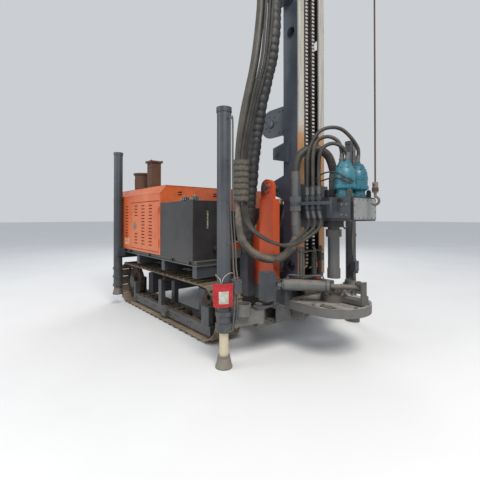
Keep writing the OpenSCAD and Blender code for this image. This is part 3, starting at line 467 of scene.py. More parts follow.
class Finish:
    """A material, its node tree and the few nodes that every finish needs."""

    def __init__(self, name):
        self.material = bpy.data.materials.new(name)
        self.material.use_nodes = True
        self.tree = self.material.node_tree
        self.shader = self.tree.nodes["Principled BSDF"]
        self.place = self.node("ShaderNodeTexCoord", out="Object")
        self.z = self.split(self.place)[2]
        self.up = self.split(self.node("ShaderNodeNewGeometry", out="Normal"))[2]

    def node(self, kind, settings=(), values=(), out=0):
        """Any node: its settings first, then the values or links of its sockets."""
        made = self.tree.nodes.new(kind)
        for key, value in dict(settings).items():
            setattr(made, key, value)
        items = values.items() if isinstance(values, dict) else enumerate(values)
        for key, value in items:
            if isinstance(value, Val):
                self.tree.links.new(value.socket, made.inputs[key])
            else:
                made.inputs[key].default_value = value
        return Val(self, made.outputs[out])

    def split(self, vector):
        """The three numbers of a vector."""
        made = self.tree.nodes.new("ShaderNodeSeparateXYZ")
        self.tree.links.new(vector.socket, made.inputs[0])
        return [Val(self, made.outputs[k]) for k in range(3)]

    def noise(self, scale, detail=3.0, rough=0.55, stretch=(1, 1, 1), shift=0.0):
        """Cloudy noise, about 0.25 to 0.75, finer as scale grows; stretch pulls it along an axis."""
        moved = {0: self.place, 1: (shift, shift * 0.7, shift * 1.3), 3: stretch}
        where = self.node("ShaderNodeMapping", {"vector_type": "POINT"}, moved)
        values = {"Vector": where, "Scale": scale, "Detail": detail, "Roughness": rough}
        return self.node("ShaderNodeTexNoise", {}, values)

    def blend(self, share, low, high):
        """The colour low where share is 0 and high where it is 1."""
        return self.node("ShaderNodeMix", {"data_type": "RGBA"}, {0: share, 6: low, 7: high}, out=2)

    def bump(self, height, strength, distance):
        """Small dents and grains that only bend the light."""
        values = {"Strength": strength, "Distance": distance, "Height": height}
        normal = self.node("ShaderNodeBump", {}, values)
        self.tree.links.new(normal.socket, self.shader.inputs["Normal"])

    def done(self, **sockets):
        """Sets the shader's sockets; underscores in a name stand for spaces."""
        for key, value in sockets.items():
            socket = self.shader.inputs[key.replace("_", " ")]
            if isinstance(value, Val):
                self.tree.links.new(value.socket, socket)
            else:
                socket.default_value = value
        return self.material


print("shader tools ready")

# %% [markdown]
# ### Painted steel
# The paint of a yard machine is never one colour: the sun fades it in clouds, dry dust lies on what faces
# up and on the lower third, thin rust runs hang under edges, and chips show brown steel. One function
# mixes these over a base colour; each paint sets how much of each it has.


# %% painted steel
DUST, RUST, DARK_RUST = (158, 142, 118), srgb((112, 66, 40)), srgb((58, 40, 30))


def painted(name, colour, faded, dust, chips, rough, low, runs, coat=0.0, soil=DUST):
    """colour and faded are the paint's two ends; dust, chips and runs are shares from 0 to 1; rough is
    the clean paint's roughness; low is the height in metres under which splashed dirt starts; coat is a
    gloss over the paint, and soil the colour of the dirt."""
    f = Finish(name)
    cloud, spots = f.noise(1.7, 4.0), f.noise(14.0, 5.0, 0.62, shift=3.1)
    fine = f.noise(90.0, 3.0, 0.6, shift=1.7)
    base = f.blend((cloud * 0.75 + spots * 0.25).rise(0.36, 0.62), srgb(colour), srgb(faded))
    streak = f.noise(1.0, 4.0, 0.6, stretch=(26.0, 26.0, 1.6), shift=5.0)
    run = streak.rise(0.60, 0.74) * spots.rise(0.42, 0.60) * runs
    base = f.blend(run, base, RUST)
    chip = (f.noise(38.0, 6.0, 0.68, shift=7.7) + (cloud - 0.5) * 0.35).rise(0.655, 0.685) * chips
    base = f.blend(chip, base, f.blend(fine.rise(0.4, 0.6), DARK_RUST, RUST))
    splash = f.z.rise(low, 0.05) * (0.35 + spots.rise(0.40, 0.62) * 0.65)
    lying = f.up.rise(0.35, 0.95) * (0.45 + spots.rise(0.38, 0.6) * 0.55)
    film = ((splash * 0.55 + lying * 0.9 + cloud.rise(0.5, 0.75) * 0.12) * dust).least(0.92)
    soil = srgb(soil)
    base = f.blend(film, base, f.blend(fine.rise(0.35, 0.65), soil, darker(soil, 0.62)))
    f.bump(fine * 0.5 + spots * 0.6 - chip * 0.8, 0.22, 0.0015)
    return f.done(
        Base_Color=base,
        Roughness=(rough + film * 0.42 + chip * 0.35 + (cloud - 0.5) * 0.2).least(0.95),
        Coat_Weight=coat,
        Coat_Roughness=0.25,
    )


# the name, the paint, the same paint faded, dust, chips, roughness, splash height, rust runs, gloss
hood_paint = painted("hood_paint", (186, 84, 40), (202, 108, 64), 0.20, 0.25, 0.40, 0.8, 0.2, 0.12)
post_paint = painted("post_paint", (178, 66, 34), (190, 84, 50), 0.26, 0.55, 0.40, 0.9, 0.35, 0.1)
frame_paint = painted("frame_paint", (47, 51, 56), (64, 68, 74), 0.32, 0.5, 0.44, 0.9, 0.28)
mast_paint = painted("mast_paint", (48, 53, 63), (63, 68, 78), 0.18, 0.35, 0.42, 0.9, 0.2)
tank_paint = painted("tank_paint", (37, 37, 39), (52, 51, 52), 0.20, 0.25, 0.40, 0.8, 0.15, 0.1)
grey_paint = painted("grey_paint", (78, 80, 80), (96, 97, 95), 0.42, 0.5, 0.5, 1.0, 0.3)
motor_paint = painted("motor_paint", (24, 88, 104), (38, 104, 120), 0.26, 0.45, 0.40, 0.3, 0.25, 0.12)
cover_grey = painted("cover_grey", (118, 120, 120), (136, 137, 135), 0.30, 0.3, 0.5, 0.3, 0.25)
# partly painted light: pale heavy dust on the table's upward faces is real dust and also light falling on
# its top
TABLE_DUST_AND_TOP_LIGHT = (168, 161, 150)
table_steel = painted("table_steel", (80, 80, 79), (98, 96, 93), 0.95, 0.5, 0.6, 0.2, 0.3, soil=TABLE_DUST_AND_TOP_LIGHT)
print("nine paints")

# %% [markdown]
# ### Bare, rusty and dusty steel
# Shoes, chains, rods and fittings have no paint. Their finish is a walk between bright worn metal, brown
# rust and dry dust: the noise picks which shows, and the metal part alone is metallic.


# %% bare steel
DRY = 0.92


def bare(name, bright, rust, dust_colour, rusted, dusted, metal, rough):
    """The colours of the bright metal, its rust and its dust; rusted and dusted say how much of the
    face each of the two takes; metal and rough belong to the clean metal, DRY to its rust and dust."""
    f = Finish(name)
    bright, rust, dust_colour = srgb(bright), srgb(rust), srgb(dust_colour)
    wide, mid = f.noise(3.0, 4.0), f.noise(21.0, 5.0, 0.62, shift=2.3)
    fine = f.noise(130.0, 3.0, 0.65, shift=4.1)
    rust_share = (wide * 0.45 + mid * 0.55).rise(0.64 - 0.30 * rusted, 0.74 - 0.30 * rusted)
    lying = (f.up.rise(0.2, 0.95) * 0.55 + wide.rise(0.35, 0.65) * 0.5 + fine.rise(0.3, 0.7) * 0.2)
    dust_share = (lying * dusted * 1.25).least(0.94)
    base = f.blend(fine.rise(0.3, 0.7), bright, darker(bright, 0.8))
    base = f.blend(rust_share, base, f.blend(fine.rise(0.4, 0.62), DARK_RUST, rust))
    base = f.blend(dust_share, base, dust_colour)
    clean = (1 - rust_share) * (1 - dust_share)
    f.bump(fine * 0.6 + mid * rust_share, 0.3, 0.0016)
    return f.done(Base_Color=base, Metallic=clean * metal, Roughness=DRY - clean * (DRY - rough))


# the name, bright metal, rust and dust, then the shares of rust and dust, metal and roughness
shoe_steel = bare("shoe_steel", (98, 92, 86), (84, 60, 44), (150, 134, 112), 0.75, 0.70, 0.7, 0.5)
link_steel = bare("link_steel", (76, 72, 68), (64, 46, 36), (98, 86, 72), 0.85, 0.40, 0.7, 0.5)
rusty_steel = bare("rusty_steel", (92, 78, 70), (92, 58, 42), (112, 94, 78), 0.9, 0.3, 0.6, 0.5)
rod_steel = bare("rod_steel", (206, 196, 172), (150, 118, 84), (198, 182, 150), 0.2, 0.55, 0.55, 0.35)
wrench_steel = bare("wrench_steel", (84, 83, 82), (80, 62, 50), (132, 122, 106), 0.4, 0.5, 0.5, 0.5)
bright_steel = bare("bright_steel", (132, 132, 130), (96, 76, 60), (122, 114, 100), 0.15, 0.35, 0.8, 0.35)
pipe_steel = bare("pipe_steel", (92, 94, 96), (86, 68, 56), (122, 114, 100), 0.25, 0.4, 0.6, 0.42)
chain_steel = bare("chain_steel", (226, 222, 214), (120, 98, 78), (190, 180, 162), 0.12, 0.30, 0.8, 0.32)
foot_steel = bare("foot_steel", (84, 85, 85), (84, 68, 56), (142, 132, 116), 0.3, 0.72, 0.5, 0.5)
print("nine steels")

# %% [markdown]
# ### Rails, rubber and wound cloth
# The head slides on two pale rails that show smeared grease. The hoses are dusty rubber, and two of them
# wear a wound cloth. Their patterns follow the hose, so they read the tube's own map: the length along it
# in metres is known there, where Object coordinates would cut straight through the bends.


# %% mast rails
def rail_finish():
    """Pale worn steel with dark grease smears; sandy rust creeps in below about 2.2 m."""
    f = Finish("rail_steel")
    smear = f.noise(1.0, 5.0, 0.6, stretch=(30.0, 30.0, 2.2))
    mid, fine = f.noise(17.0, 4.0, shift=2.0), f.noise(120.0, 3.0, shift=1.0)
    base = f.blend(smear.rise(0.35, 0.65), srgb((186, 182, 172)), srgb((160, 156, 146)))
    sandy = (f.z.rise(2.5, 2.0) * 0.85 + mid * 0.4 - 0.3).rise(0.3, 0.75)
    base = f.blend(sandy, base, srgb((176, 132, 92)))
    grease = (mid * 0.6 + smear * 0.4).rise(0.60, 0.68)
    base = f.blend(grease * 0.6, base, srgb((82, 76, 68)))
    f.bump(fine * 0.5 + smear * 0.5, 0.2, 0.001)
    return f.done(Base_Color=base, Metallic=0.45, Roughness=0.36 + fine * 0.3)


rail_steel = rail_finish()
print("worn rails with grease and sandy rust")


# %% hose rubber and wraps
def hose_finish(name, colour, dust_colour, dusted, washed=0.3):
    """Rubber read along its own map: v runs in metres along the hose. Dust lies in clouds and on top,
    and a fine cloth weave shows as bump. Rain washes the high parts: washed is the dust gone above 2 m."""
    f = Finish(name)
    dust_colour = srgb(dust_colour)
    u, v, _ = f.split(f.node("ShaderNodeTexCoord", out="UV"))
    cloud, spots = f.noise(7.0, 4.0, shift=2.0), f.noise(34.0, 5.0, 0.6, shift=5.0)
    share = ((f.up.rise(-0.6, 0.9) * 0.55 + cloud.rise(0.36, 0.62) * 0.6) * dusted).least(0.95)
    share = share * (1 - f.z.rise(1.3, 2.0) * washed)
    dry = f.blend(spots.rise(0.4, 0.62), dust_colour, darker(dust_colour, 0.7))
    base = f.blend(share, srgb(colour), dry)
    scuff = spots.rise(0.62, 0.68) * 0.35
    base = f.blend(scuff, base, srgb((28, 26, 24)))
    weave = (v * 1400.0 + u * 9.0).sine() * 0.5
    f.bump(weave * 0.35 + spots, 0.25, 0.0012)
    return f.done(Base_Color=base, Roughness=0.5 + share * 0.4)


black_rubber = hose_finish("black_rubber", (30, 29, 29), (98, 91, 80), 0.42)
dusty_rubber = hose_finish("dusty_rubber", (50, 47, 43), (132, 122, 105), 0.85, 0.75)
brown_rubber = hose_finish("brown_rubber", (42, 38, 35), (112, 101, 86), 0.7)


def wrap_finish(name, dark, pale, dusted, pitch, rough=0.78):
    """Sleeve cloth wound round a bundle: a painted highlight on each turn's crown and painted shade
    where it tucks under, and pale dust in spots; dusted scales both the light and the dust.
    """
    f = Finish(name)
    u, v, _ = f.split(f.node("ShaderNodeTexCoord", out="UV"))
    wobble = f.noise(9.0, 3.0) - 0.5
    turn = (v / pitch + wobble * 0.25).part()
    # painted highlight on each turn's crown, painted shade where the turn tucks under
    crown = turn.rise(0.05, 0.35) * (1 - turn.rise(0.80, 1.0))
    spots = f.noise(40.0, 4.0, 0.6, shift=3.0)
    share = (crown * 0.7 + spots.rise(0.42, 0.62) * 0.35) * dusted
    base = f.blend(share.least(0.95), srgb(dark), srgb(pale))
    weave = (u * 420.0).sine() * (v * 1300.0).sine()
    f.bump(weave * 0.25 + spots * 0.8, 0.3, 0.0016)
    return f.done(Base_Color=base, Roughness=rough + share * 0.15)


# the dark colour carries the painted shade in the tucks, the pale one the painted highlight and dust
tan_wrap = wrap_finish("tan_wrap", (38, 36, 33), (96, 90, 81), 0.9, 0.058)
black_wrap = wrap_finish("black_wrap", (17, 17, 19), (45, 44, 44), 0.85, 0.070, 0.46)
print("three rubbers and two wraps")

# %% [markdown]
# ### Small parts
# Caps, the dark blocks of painted shade, cloth, cord and glass are small in the picture. Two close colours
# in fine clouds keep them from looking like flat plastic, and one function makes them all.


# %% small finishes
def plain(name, colour, other, rough=0.5, metal=0.0, scale=30.0, height=0.15):
    """Two close colours in clouds of the given scale, with a fine grain of the given height."""
    f = Finish(name)
    cloud, fine = f.noise(scale, 4.0), f.noise(scale * 5, 3.0, shift=2.0)
    base = f.blend(cloud.rise(0.38, 0.62), srgb(colour), srgb(other))
    f.bump(fine, height, 0.001)
    return f.done(Base_Color=base, Metallic=metal, Roughness=rough + (cloud - 0.5) * 0.25)


red_cloth = plain("red_cloth", (172, 26, 32), (144, 22, 28), 0.7, 0.0, 60.0, 0.4)
clear_film = plain("clear_film", (180, 178, 168), (156, 152, 140), 0.35, 0.0, 25.0)
# painted shade: the near-black finish of the blocks behind the hood's slots
black_foam = plain("black_foam", (26, 25, 25), (38, 36, 34), 0.95, 0.0, 120.0, 0.6)
white_cord = plain("white_cord", (214, 208, 196), (184, 176, 160), 0.8, 0.0, 90.0, 0.4)
zinc = plain("zinc", (150, 147, 138), (126, 121, 110), 0.4, 0.7, 70.0)
black_plastic = plain("black_plastic", (34, 34, 36), (52, 50, 48), 0.45, 0.0, 40.0)
sight_glass = plain("sight_glass", (158, 154, 132), (92, 86, 70), 0.2, 0.0, 45.0)
blank_plate = plain("blank_plate", (206, 160, 132), (188, 142, 114), 0.4, 0.0, 20.0)
pale_floor = plain("pale_floor", (224, 223, 221), (221, 220, 218), 0.8, 0.0, 0.6, 0.03)
floor_data.materials.append(pale_floor)
print("nine small finishes")

# %% [markdown]
# ## Hoses
# The hoses are fixed lengths that hang between their fittings. Each follows the same route as its solid,
# so the rubber lies exactly where the solid was: from the bracket on the mast down through a cloth wrap,
# round in a low loop and up to the pipe on the head carriage. The wrap shows its turns as soft rings. The
# hoses on the head ride with it; the main hose, the three small ones, the wrap and the bundle stay where
# they are made. They are made before all other pieces. A simulated rope would also hang well, but these
# hoses are stiff and set by their fittings, so listed points and a smooth curve through them come closer.

# %% hose routes
BRACKET, MOTOR_TOP = 3.4797, 1.8113
main_route = line(
    (-0.010, -0.550, BRACKET), (-0.010, -0.550, 3.300), (-0.040, -0.600, 2.800), (-0.130, -0.670, 2.250),
    (-0.173, -0.689, 1.850), (-0.173, -0.689, 1.430), (-0.150, -0.662, 1.070), (-0.010, -0.520, 0.905),
    (0.135, -0.365, 0.930), (0.204, -0.291, 1.090), (0.205, -0.290, 1.2095),
)
small_route = line(
    (0.080, -0.480, BRACKET), (0.080, -0.480, 3.300), (0.055, -0.520, 2.800), (-0.030, -0.580, 2.400),
    (-0.135, -0.629, 1.870), (-0.135, -0.629, 1.430), (-0.100, -0.590, 1.210), (0.040, -0.480, 1.070),
    (0.215, -0.400, 1.045), (0.335, -0.275, 1.200), (0.335, -0.275, 1.3495),
)
SMALL_GAP = np.array([
    (0.000, -0.042, 0), (0.000, -0.042, 0), (0.004, -0.042, 0), (0.010, -0.040, 0), (0.016, -0.039, 0),
    (0.016, -0.039, 0), (0.020, -0.036, 0), (0.030, -0.034, 0), (0.048, -0.026, 0), (0.065, 0.000, 0),
    (0.065, 0.000, 0),
])
bundle_route = line(
    (0.030, -0.400, BRACKET), (0.030, -0.400, 3.300), (0.000, -0.415, 2.900), (-0.110, -0.450, 2.450),
    (-0.190, -0.470, 2.000), (-0.260, -0.466, 1.500), (-0.320, -0.455, 1.080), (-0.320, -0.455, 0.9055),
)
head_routes = [
    line(
        (0.465, -0.275, 1.5003), (0.465, -0.275, 1.800), (0.490, -0.252, 1.920), (0.555, -0.190, 1.962),
        (0.620, -0.132, 1.920), (0.646, -0.108, 1.850), (0.646, -0.108, MOTOR_TOP),
    ),
    line(
        (0.400, -0.275, 1.5003), (0.400, -0.275, 1.850), (0.425, -0.253, 1.990), (0.495, -0.190, 2.035),
        (0.565, -0.130, 1.990), (0.590, -0.108, 1.890), (0.590, -0.108, MOTOR_TOP),
    ),
    line(
        (0.335, -0.275, 1.5003), (0.335, -0.275, 1.640), (0.345, -0.265, 1.920), (0.410, -0.170, 2.110),
        (0.520, -0.010, 2.130), (0.618, 0.108, 1.960), (0.618, 0.108, MOTOR_TOP),
    ),
]
drain_routes = [
    line(
        (0.300, -0.236, 1.560 - 0.02 * k), (0.340, -0.232, 1.600),
        (0.450, -0.222, 1.690 - 0.06 * k), (0.580, -0.205, 1.700 - 0.05 * k),
        (0.690, -0.195, 1.640 - 0.03 * k), (0.716, -0.140, 1.620 - 0.01 * k),
        (0.702, -0.108 + 0.012 * k, 1.615),
    )
    for k in range(2)
]
elbow_route = line(
    (0.205, -0.290, 1.6603), (0.205, -0.290, 1.760), (0.225, -0.260, 1.890), (0.300, -0.155, 1.960),
    (0.390, -0.045, 1.900), (0.430, 0.000, 1.740), (0.430, 0.000, 1.6363),
)


def hose(name, route, diameter, finish, body, node, step, sides, stiffness="stiff", lumps=None, **more):
    """A hose swept along its route; the length that the route has is printed. The node is
    the solid that it replaces, and lumps gives the radii of a wound one."""
    path = even_path(route, step)
    radius = diameter / 2 if lumps is None else lumps(path, sides)
    obj = Shape().add(*tube(path, radius, sides)).make(name, body, finish, replaces=[node] if node else ())
    print(f"{name}: {length_of(path):.2f} m long, {diameter * 1000:.0f} mm thick")
    return path


print("the hoses' routes and two tools")


# %% wound cloth
def wound(diameter, pitch, depth, lean=0.175):
    """Radii of a bundle in a wound cloth: each turn swells and tucks, tilted a little round the bundle,
    r = d/2 (1 - depth (1 - |sin pi p|^0.6) + lumps - 0.02), p = s / pitch + lean cos w + 0.2 sin 9s."""

    def radii(path, sides):
        run = metres_along(path)
        w = np.arange(sides) * 2 * math.pi / sides
        phase = run[:, None] / pitch + lean * np.cos(w)[None, :] + 0.2 * np.sin(run * 9.0)[:, None]
        swell = np.abs(np.sin(math.pi * phase)) ** 0.6
        lump = 0.03 * np.sin(run[:, None] * 21.0 + 2 * w[None, :])
        return diameter / 2 * (1 - depth * (1 - swell) + lump * (swell > 0.2) - 0.02)

    return radii


def cloth_wrap():
    """The sleeve of cloth over the mast pin: a tube with a wall, its outside swollen turn by turn."""
    rings, sides = 116, 40
    z = np.linspace(WRAP_LOW, WRAP_HIGH, rings)
    path = np.stack([np.full(rings, LEG_LINE + WRAP_A), np.full(rings, WRAP_Y), z], axis=1)
    outer, _, maps = tube(path, wound(WRAP_ACROSS, 0.058, 0.035)(path, sides), sides, caps=False)
    inner = tube(path, WRAP_BORE, sides, caps=False)[0]
    wall = grid_faces(rings, sides, wrap_cols=True)
    inside, end = rings * sides, (rings - 1) * sides
    j, after = np.arange(sides), (np.arange(sides) + 1) % sides
    low_rim = np.stack([after, j, j + inside, after + inside], axis=1)
    high_rim = end + np.stack([j, after, after + inside, j + inside], axis=1)
    faces = [wall, wall[:, ::-1] + inside, low_rim, high_rim]
    shape = Shape().add(np.concatenate([outer, inner]), faces, np.concatenate([maps, maps]))
    return shape.make("hose_wrap_cloth", TO_HEAD, tan_wrap, "tan_wrap", 60, ["hose_wrap"])


TO_HEAD, TO_DECK = ("mast", "head", 3.30, 1.36), ("mast", "chassis", 3.20, 0.95)
WRAP_A, WRAP_Y, WRAP_LOW, WRAP_HIGH, WRAP_ACROSS, WRAP_BORE = -0.151, -0.680, 1.446, 1.849, 0.154, 0.0712
wrap_cloth = cloth_wrap()
print("a cloth sleeve", round(WRAP_HIGH - WRAP_LOW, 3), "m high")

# %% hoses from the mast
main_path = hose(
    "hose_main_tube", main_route, 0.082, dusty_rubber, TO_HEAD, "hose_main", 0.03, 20,
    with_pieces=[wrap_cloth],
)
small_paths = [
    hose(
        f"hose_small_{k + 1}", small_route + k * SMALL_GAP, 0.028, black_rubber, TO_HEAD, "hoses_small",
        0.025, 10,
    )
    for k in range(3)
]
bundle_path = hose(
    "hose_bundle_sleeve", bundle_route, 0.120, black_wrap, TO_DECK, "hose_bundle", 0.014, 24,
    lumps=wound(0.140, 0.070, 0.13),
)

# %% hoses on the head
head_rubbers = (black_rubber, brown_rubber, black_rubber)
head_paths = [
    hose(f"hose_head_{k + 1}", route, 0.034, rubber, "head", "hoses_head", 0.018, 14)
    for k, (route, rubber) in enumerate(zip(head_routes, head_rubbers))
]
for k, route in enumerate(drain_routes):
    hose(f"hose_drain_{k + 1}", route, 0.0144, black_rubber, "head", None, 0.012, 10, "medium")
elbow_path = hose("hose_elbow", elbow_route, 0.080, black_rubber, "head", "hoses_head", 0.018, 24)

# %% [markdown]
# ## Finishes of the solids
# Solids whose shape is right stay and only get a finish, so what the model says of them is what is seen.
# A solid that a new piece replaces below is hidden by that piece.

# %% finishes of the solids
FINISH_OF = {
    shoe_steel: "track_right track_left",
    frame_paint: "track_frames lower_frame front_beam rear_leg_tubes rear_leg_brackets leg_tube_right "
    "leg_tube_left lift_barrel head_carriage winch_frame",
    grey_paint: "leg_arm_right leg_arm_left deck wrench_barrel",
    mast_paint: "mast_column mast_trunnion crown feed_drive",
    tank_paint: "oil_tank control_console gearbox engine_block",
    hood_paint: "hood_roof hood_front_wall hood_sides hood_rear_grille door_right door_left",
    post_paint: "mast_posts",
    wrench_steel: "wrench_ring wrench_rod",
    foot_steel: "hook_block",
    rusty_steel: "exhaust_pipe air_cleaner winch_drum crown_sheaves",
    table_steel: "drill_table",
    rod_steel: "jack_front_right jack_front_left jack_rear_right jack_rear_left lift_rod",
    rail_steel: "mast_rails",
    chain_steel: "feed_chains",
    motor_paint: "drive_motors",
    pipe_steel: "standpipe spindle",
    zinc: "tank_fittings",
    link_steel: "track_chains track_wheels hoist_rope",
}
for finish, names in FINISH_OF.items():
    for name in names.split():
        mesh = nodes[name].data
        mesh.materials.clear()
        mesh.materials.append(finish)
print(sum(len(names.split()) for names in FINISH_OF.values()), "solids painted")

# %% [markdown]
# ## Tracks
# Each track is a loop of 46 shoes on a chain of links. A length along the loop gives a place and a
# direction: straight runs between the wheels and half circles round them. Every shoe is one profile with
# a grouser bar, pushed across the track and set down at the middle of its pitch; every link joins two
# pins. An array modifier on a curve would also string shoes, but it bends each shoe a little round the
# wheels, and steel shoes stay flat.


# %% loops and chains
def round_loop(s, run, radius):
    """A loop of two straight runs and two half circles, at lengths s from the near wheel: how far along
    it is, how far out from the middle line, and the angle by which the way has turned."""
    bend = math.pi * radius
    s = np.asarray(s, float) % (2 * (run + bend))
    w1, w2, zero = (s - run) / radius, (s - 2 * run - bend) / radius, 0 * s
    cases = [s < run, s < run + bend, s < 2 * run + bend]
    along = np.select(cases, [s, run + radius * np.sin(w1), 2 * run + bend - s], -radius * np.sin(w2))
    out = np.select(cases, [zero + radius, radius * np.cos(w1), zero - radius], -radius * np.cos(w2))
    return along, out, np.select(cases, [zero, w1, zero + math.pi], math.pi + w2)


def turned(angle, stretch=1.0):
    """Matrices that turn (along, across, outward) into the rig's frame; stretch lengthens along."""
    c, s, o = np.cos(angle), np.sin(angle), 0 * angle
    columns = [(c * stretch, o, s * stretch), (o, o + 1, o), (-s, o, c)]
    return np.stack([np.stack(column, 1) for column in columns], 2)


def chain_links(pins, pitch):
    """The middle and the matrix of each link between pins (x, z), stretched to reach from pin to pin."""
    after = np.roll(pins, -1, axis=0)
    dx, dz = (after - pins).T
    return (pins + after) / 2, turned(np.arctan2(dz, dx), np.hypot(dx, dz) / pitch)


def standing(flat, y):
    """Places (x, y, z) from pairs (x, z) at one y."""
    return np.insert(flat, 1, y, axis=1)


def toothed(teeth, steps, radius, tooth, sharp):
    """The outline of a sprocket: r = radius + tooth clip(sharp cos(teeth w), -1, 1)."""
    w = np.linspace(0, 2 * math.pi, teeth * steps, endpoint=False)
    r = radius + tooth * np.clip(sharp * np.cos(teeth * w), -1, 1)
    return np.stack([r * np.cos(w), r * np.sin(w)], axis=1)


print("tools for tracks and chains")

# %% track shoes
REAR, FRONT, WHEEL_Z, TRACK_Y = -2.675, -0.599, 0.305, 0.675
SHOE_R, SHOES, SHOE_WIDTH = 0.271, 46, 0.3496
RUN = FRONT - REAR
PITCH = 2 * (RUN + math.pi * SHOE_R) / SHOES


def track_loop(s):
    """Places (x, z) on the shoes' loop and the angle of travel there."""
    along, out, bend = round_loop(s, RUN, SHOE_R)
    return np.stack([LEG_LINE + REAR + along, WHEEL_Z + out], axis=1), -bend


shoe_profile = [
    (-0.0625, 0.0045), (-0.058, 0.001), (0.050, 0.001), (0.058, -0.003), (0.0625, 0.001),
    (0.060, 0.008), (0.050, 0.0120), (0.015, 0.0125), (0.0095, 0.018), (0.0070, 0.0335),
    (-0.0070, 0.0335), (-0.0095, 0.018), (-0.015, 0.0125), (-0.055, 0.0120), (-0.0625, 0.0095),
]
shoe = joined(
    plate(shoe_profile, (0, SHOE_WIDTH / 2, 0), X, UP, SHOE_WIDTH, 0.0012),
    bolts([(u, y, 0.012) for u in (-0.036, 0.032) for y in (-0.048, 0.048)], UP, 0.021, 0.009),
)
middles, angles = track_loop((np.arange(SHOES) + 0.5) * PITCH)
for name, side in (("right", -1), ("left", 1)):
    Shape().add(*repeat(shoe, standing(middles, side * TRACK_Y), turned(angles))).make(
        f"track_{name}_shoes", "chassis", shoe_steel, "shoe_steel", 30, [f"track_{name}"]
    )
print(SHOES, "shoes a side, pitch", round(PITCH * 1000, 1), "mm")

# %% track links
PIN_DEPTH, LINK_THICK, LINK_GAPS = 0.025, 0.013, (0.044, 0.030)
w = np.linspace(-math.pi / 2, math.pi / 2, 9)
eye = np.stack([0.0636 + 0.020 * np.cos(w), 0.020 * np.sin(w)], axis=1)
link_outline = np.concatenate(
    [eye, [(0.044, 0.024), (-0.044, 0.024)], -eye, [(-0.030, -0.013), (0.030, -0.013)]]
)
ends, end_angles = track_loop(np.arange(SHOES) * PITCH)
pins = ends + PIN_DEPTH * np.stack([np.sin(end_angles), -np.cos(end_angles)], axis=1)
link_middles, link_turns = chain_links(pins, PITCH)
pin = joined(
    lathe([(0.011, -0.054), (0.011, 0.054)], ORIGIN, Y, 10),
    lathe([(0.017, -0.036), (0.017, 0.036)], ORIGIN, Y, 12),
)
links_of_track = Shape()
for y in (-TRACK_Y, TRACK_Y):
    for k, gap in enumerate(LINK_GAPS):
        starts = [(0, v + LINK_THICK / 2, 0) for v in (-gap, gap)]
        pair = joined(*(plate(link_outline, start, X, UP, LINK_THICK, 0.002) for start in starts))
        links_of_track.add(*repeat(pair, standing(link_middles[k::2], y), link_turns[k::2]))
    links_of_track.add(*repeat(pin, standing(pins, y)))
links_of_track.make("track_links", "chassis", link_steel, "rusty_steel", 35, ["track_chains"])
print(2 * SHOES, "track links")

# %% sprockets, rollers and side beams
ROLLERS, ROLLER_Z, BEAM_FACE = np.linspace(REAR + 0.320, FRONT - 0.320, 6), 0.126, 0.800
RIM = [(0.190, 0.026), (0.214, 0.026), (0.214, 0.031), (0.205, 0.031), (0.190, 0.028)]
FLANGE = [(0.046, -0.006), (0.058, -0.005), (0.058, 0.005), (0.046, 0.006)]
wheels, beams = Shape(), Shape()
for side in (-1, 1):
    sprocket = at(REAR, side * TRACK_Y + 0.021, WHEEL_Z)
    wheels.add(*plate(toothed(13, 12, 0.226, 0.012, 1.4), sprocket, X, UP, 0.042, 0.003))
    for a in (REAR, FRONT):
        hub = at(a, side * TRACK_Y, WHEEL_Z)
        wheels.add(*lathe(RIM, hub, side * Y, 48, True))
        hub_bolts = around(hub + side * 0.055 * Y, 0.064, 10, axes=(X, UP))
        wheels.add(*bolts(hub_bolts, side * Y, 0.016, 0.008))
    for a in ROLLERS:
        for y in (-0.052, 0.052):
            wheels.add(*lathe(FLANGE, at(a, side * TRACK_Y + y, ROLLER_Z), Y, 24))
    for a in (-1.350, -1.640, -2.210):
        beams.add(*bolts([at(a + d, side * 0.770, 0.168) for d in (-0.018, 0.018)], UP, 0.016, 0.008))
    for a in ROLLERS:
        axle_bolts = [at(a + d, side * BEAM_FACE, ROLLER_Z) for d in (-0.03, 0.03)]
        beams.add(*bolts(axle_bolts, side * Y, 0.020, 0.010))
    beams.add(*side_block(side, (-1.515, -1.405), (BEAM_FACE, BEAM_FACE + 0.044), (0.138, 0.142)))
wheels.make("track_wheel_rims", "chassis", link_steel)
beams.make("track_frame_bolts", "chassis", frame_paint)
print("sprockets, rollers and side beams dressed")

# %% [markdown]
# ## Mast
# Two roller chains run the height of the mast and pull the head. Their plates are figure-eights on a
# 38 mm pitch, set alternately wide and narrow on rollers, and they close round a sprocket at each end.
# The same loop serves as for the tracks, stood upright. A texture of links would be lighter, but one
# looks through between the rollers.

# %% mast chains
CHAIN_PITCH, LOW_END, HIGH_END, CHAIN_A, CHAIN_R = 0.0381, 0.830, 5.660, 0.077, 0.064
CHAIN_YS, PLATE_THICK, PLATE_GAPS = (-0.053, 0.053), 0.003, (0.0230, 0.0190)
rise = HIGH_END - LOW_END
chain_length = 2 * (rise + math.pi * CHAIN_R)
count = int(round(chain_length / CHAIN_PITCH / 2)) * 2
up, out, _ = round_loop(np.arange(count) * chain_length / count, rise, CHAIN_R)
knots = np.stack([CHAIN_A + LEG_LINE + out, LOW_END + up], axis=1)
plate_middles, plate_turns = chain_links(knots, CHAIN_PITCH)
half = CHAIN_PITCH / 2
upper_right = [(half + 0.0085, 0), (half + 0.006, 0.0065), (half - 0.004, 0.0085)]
upper_left = [(-u, v) for u, v in upper_right[::-1]]
lower = [(-u, -v) for u, v in upper_right[1:] + [(0, 0.0055)] + upper_left[:-1]]
eight = upper_right + [(0, 0.0055)] + upper_left + lower
roller = lathe([(0.0112, -0.0165), (0.0112, 0.0165)], ORIGIN, Y, 10)
plates, rollers = Shape(), Shape()
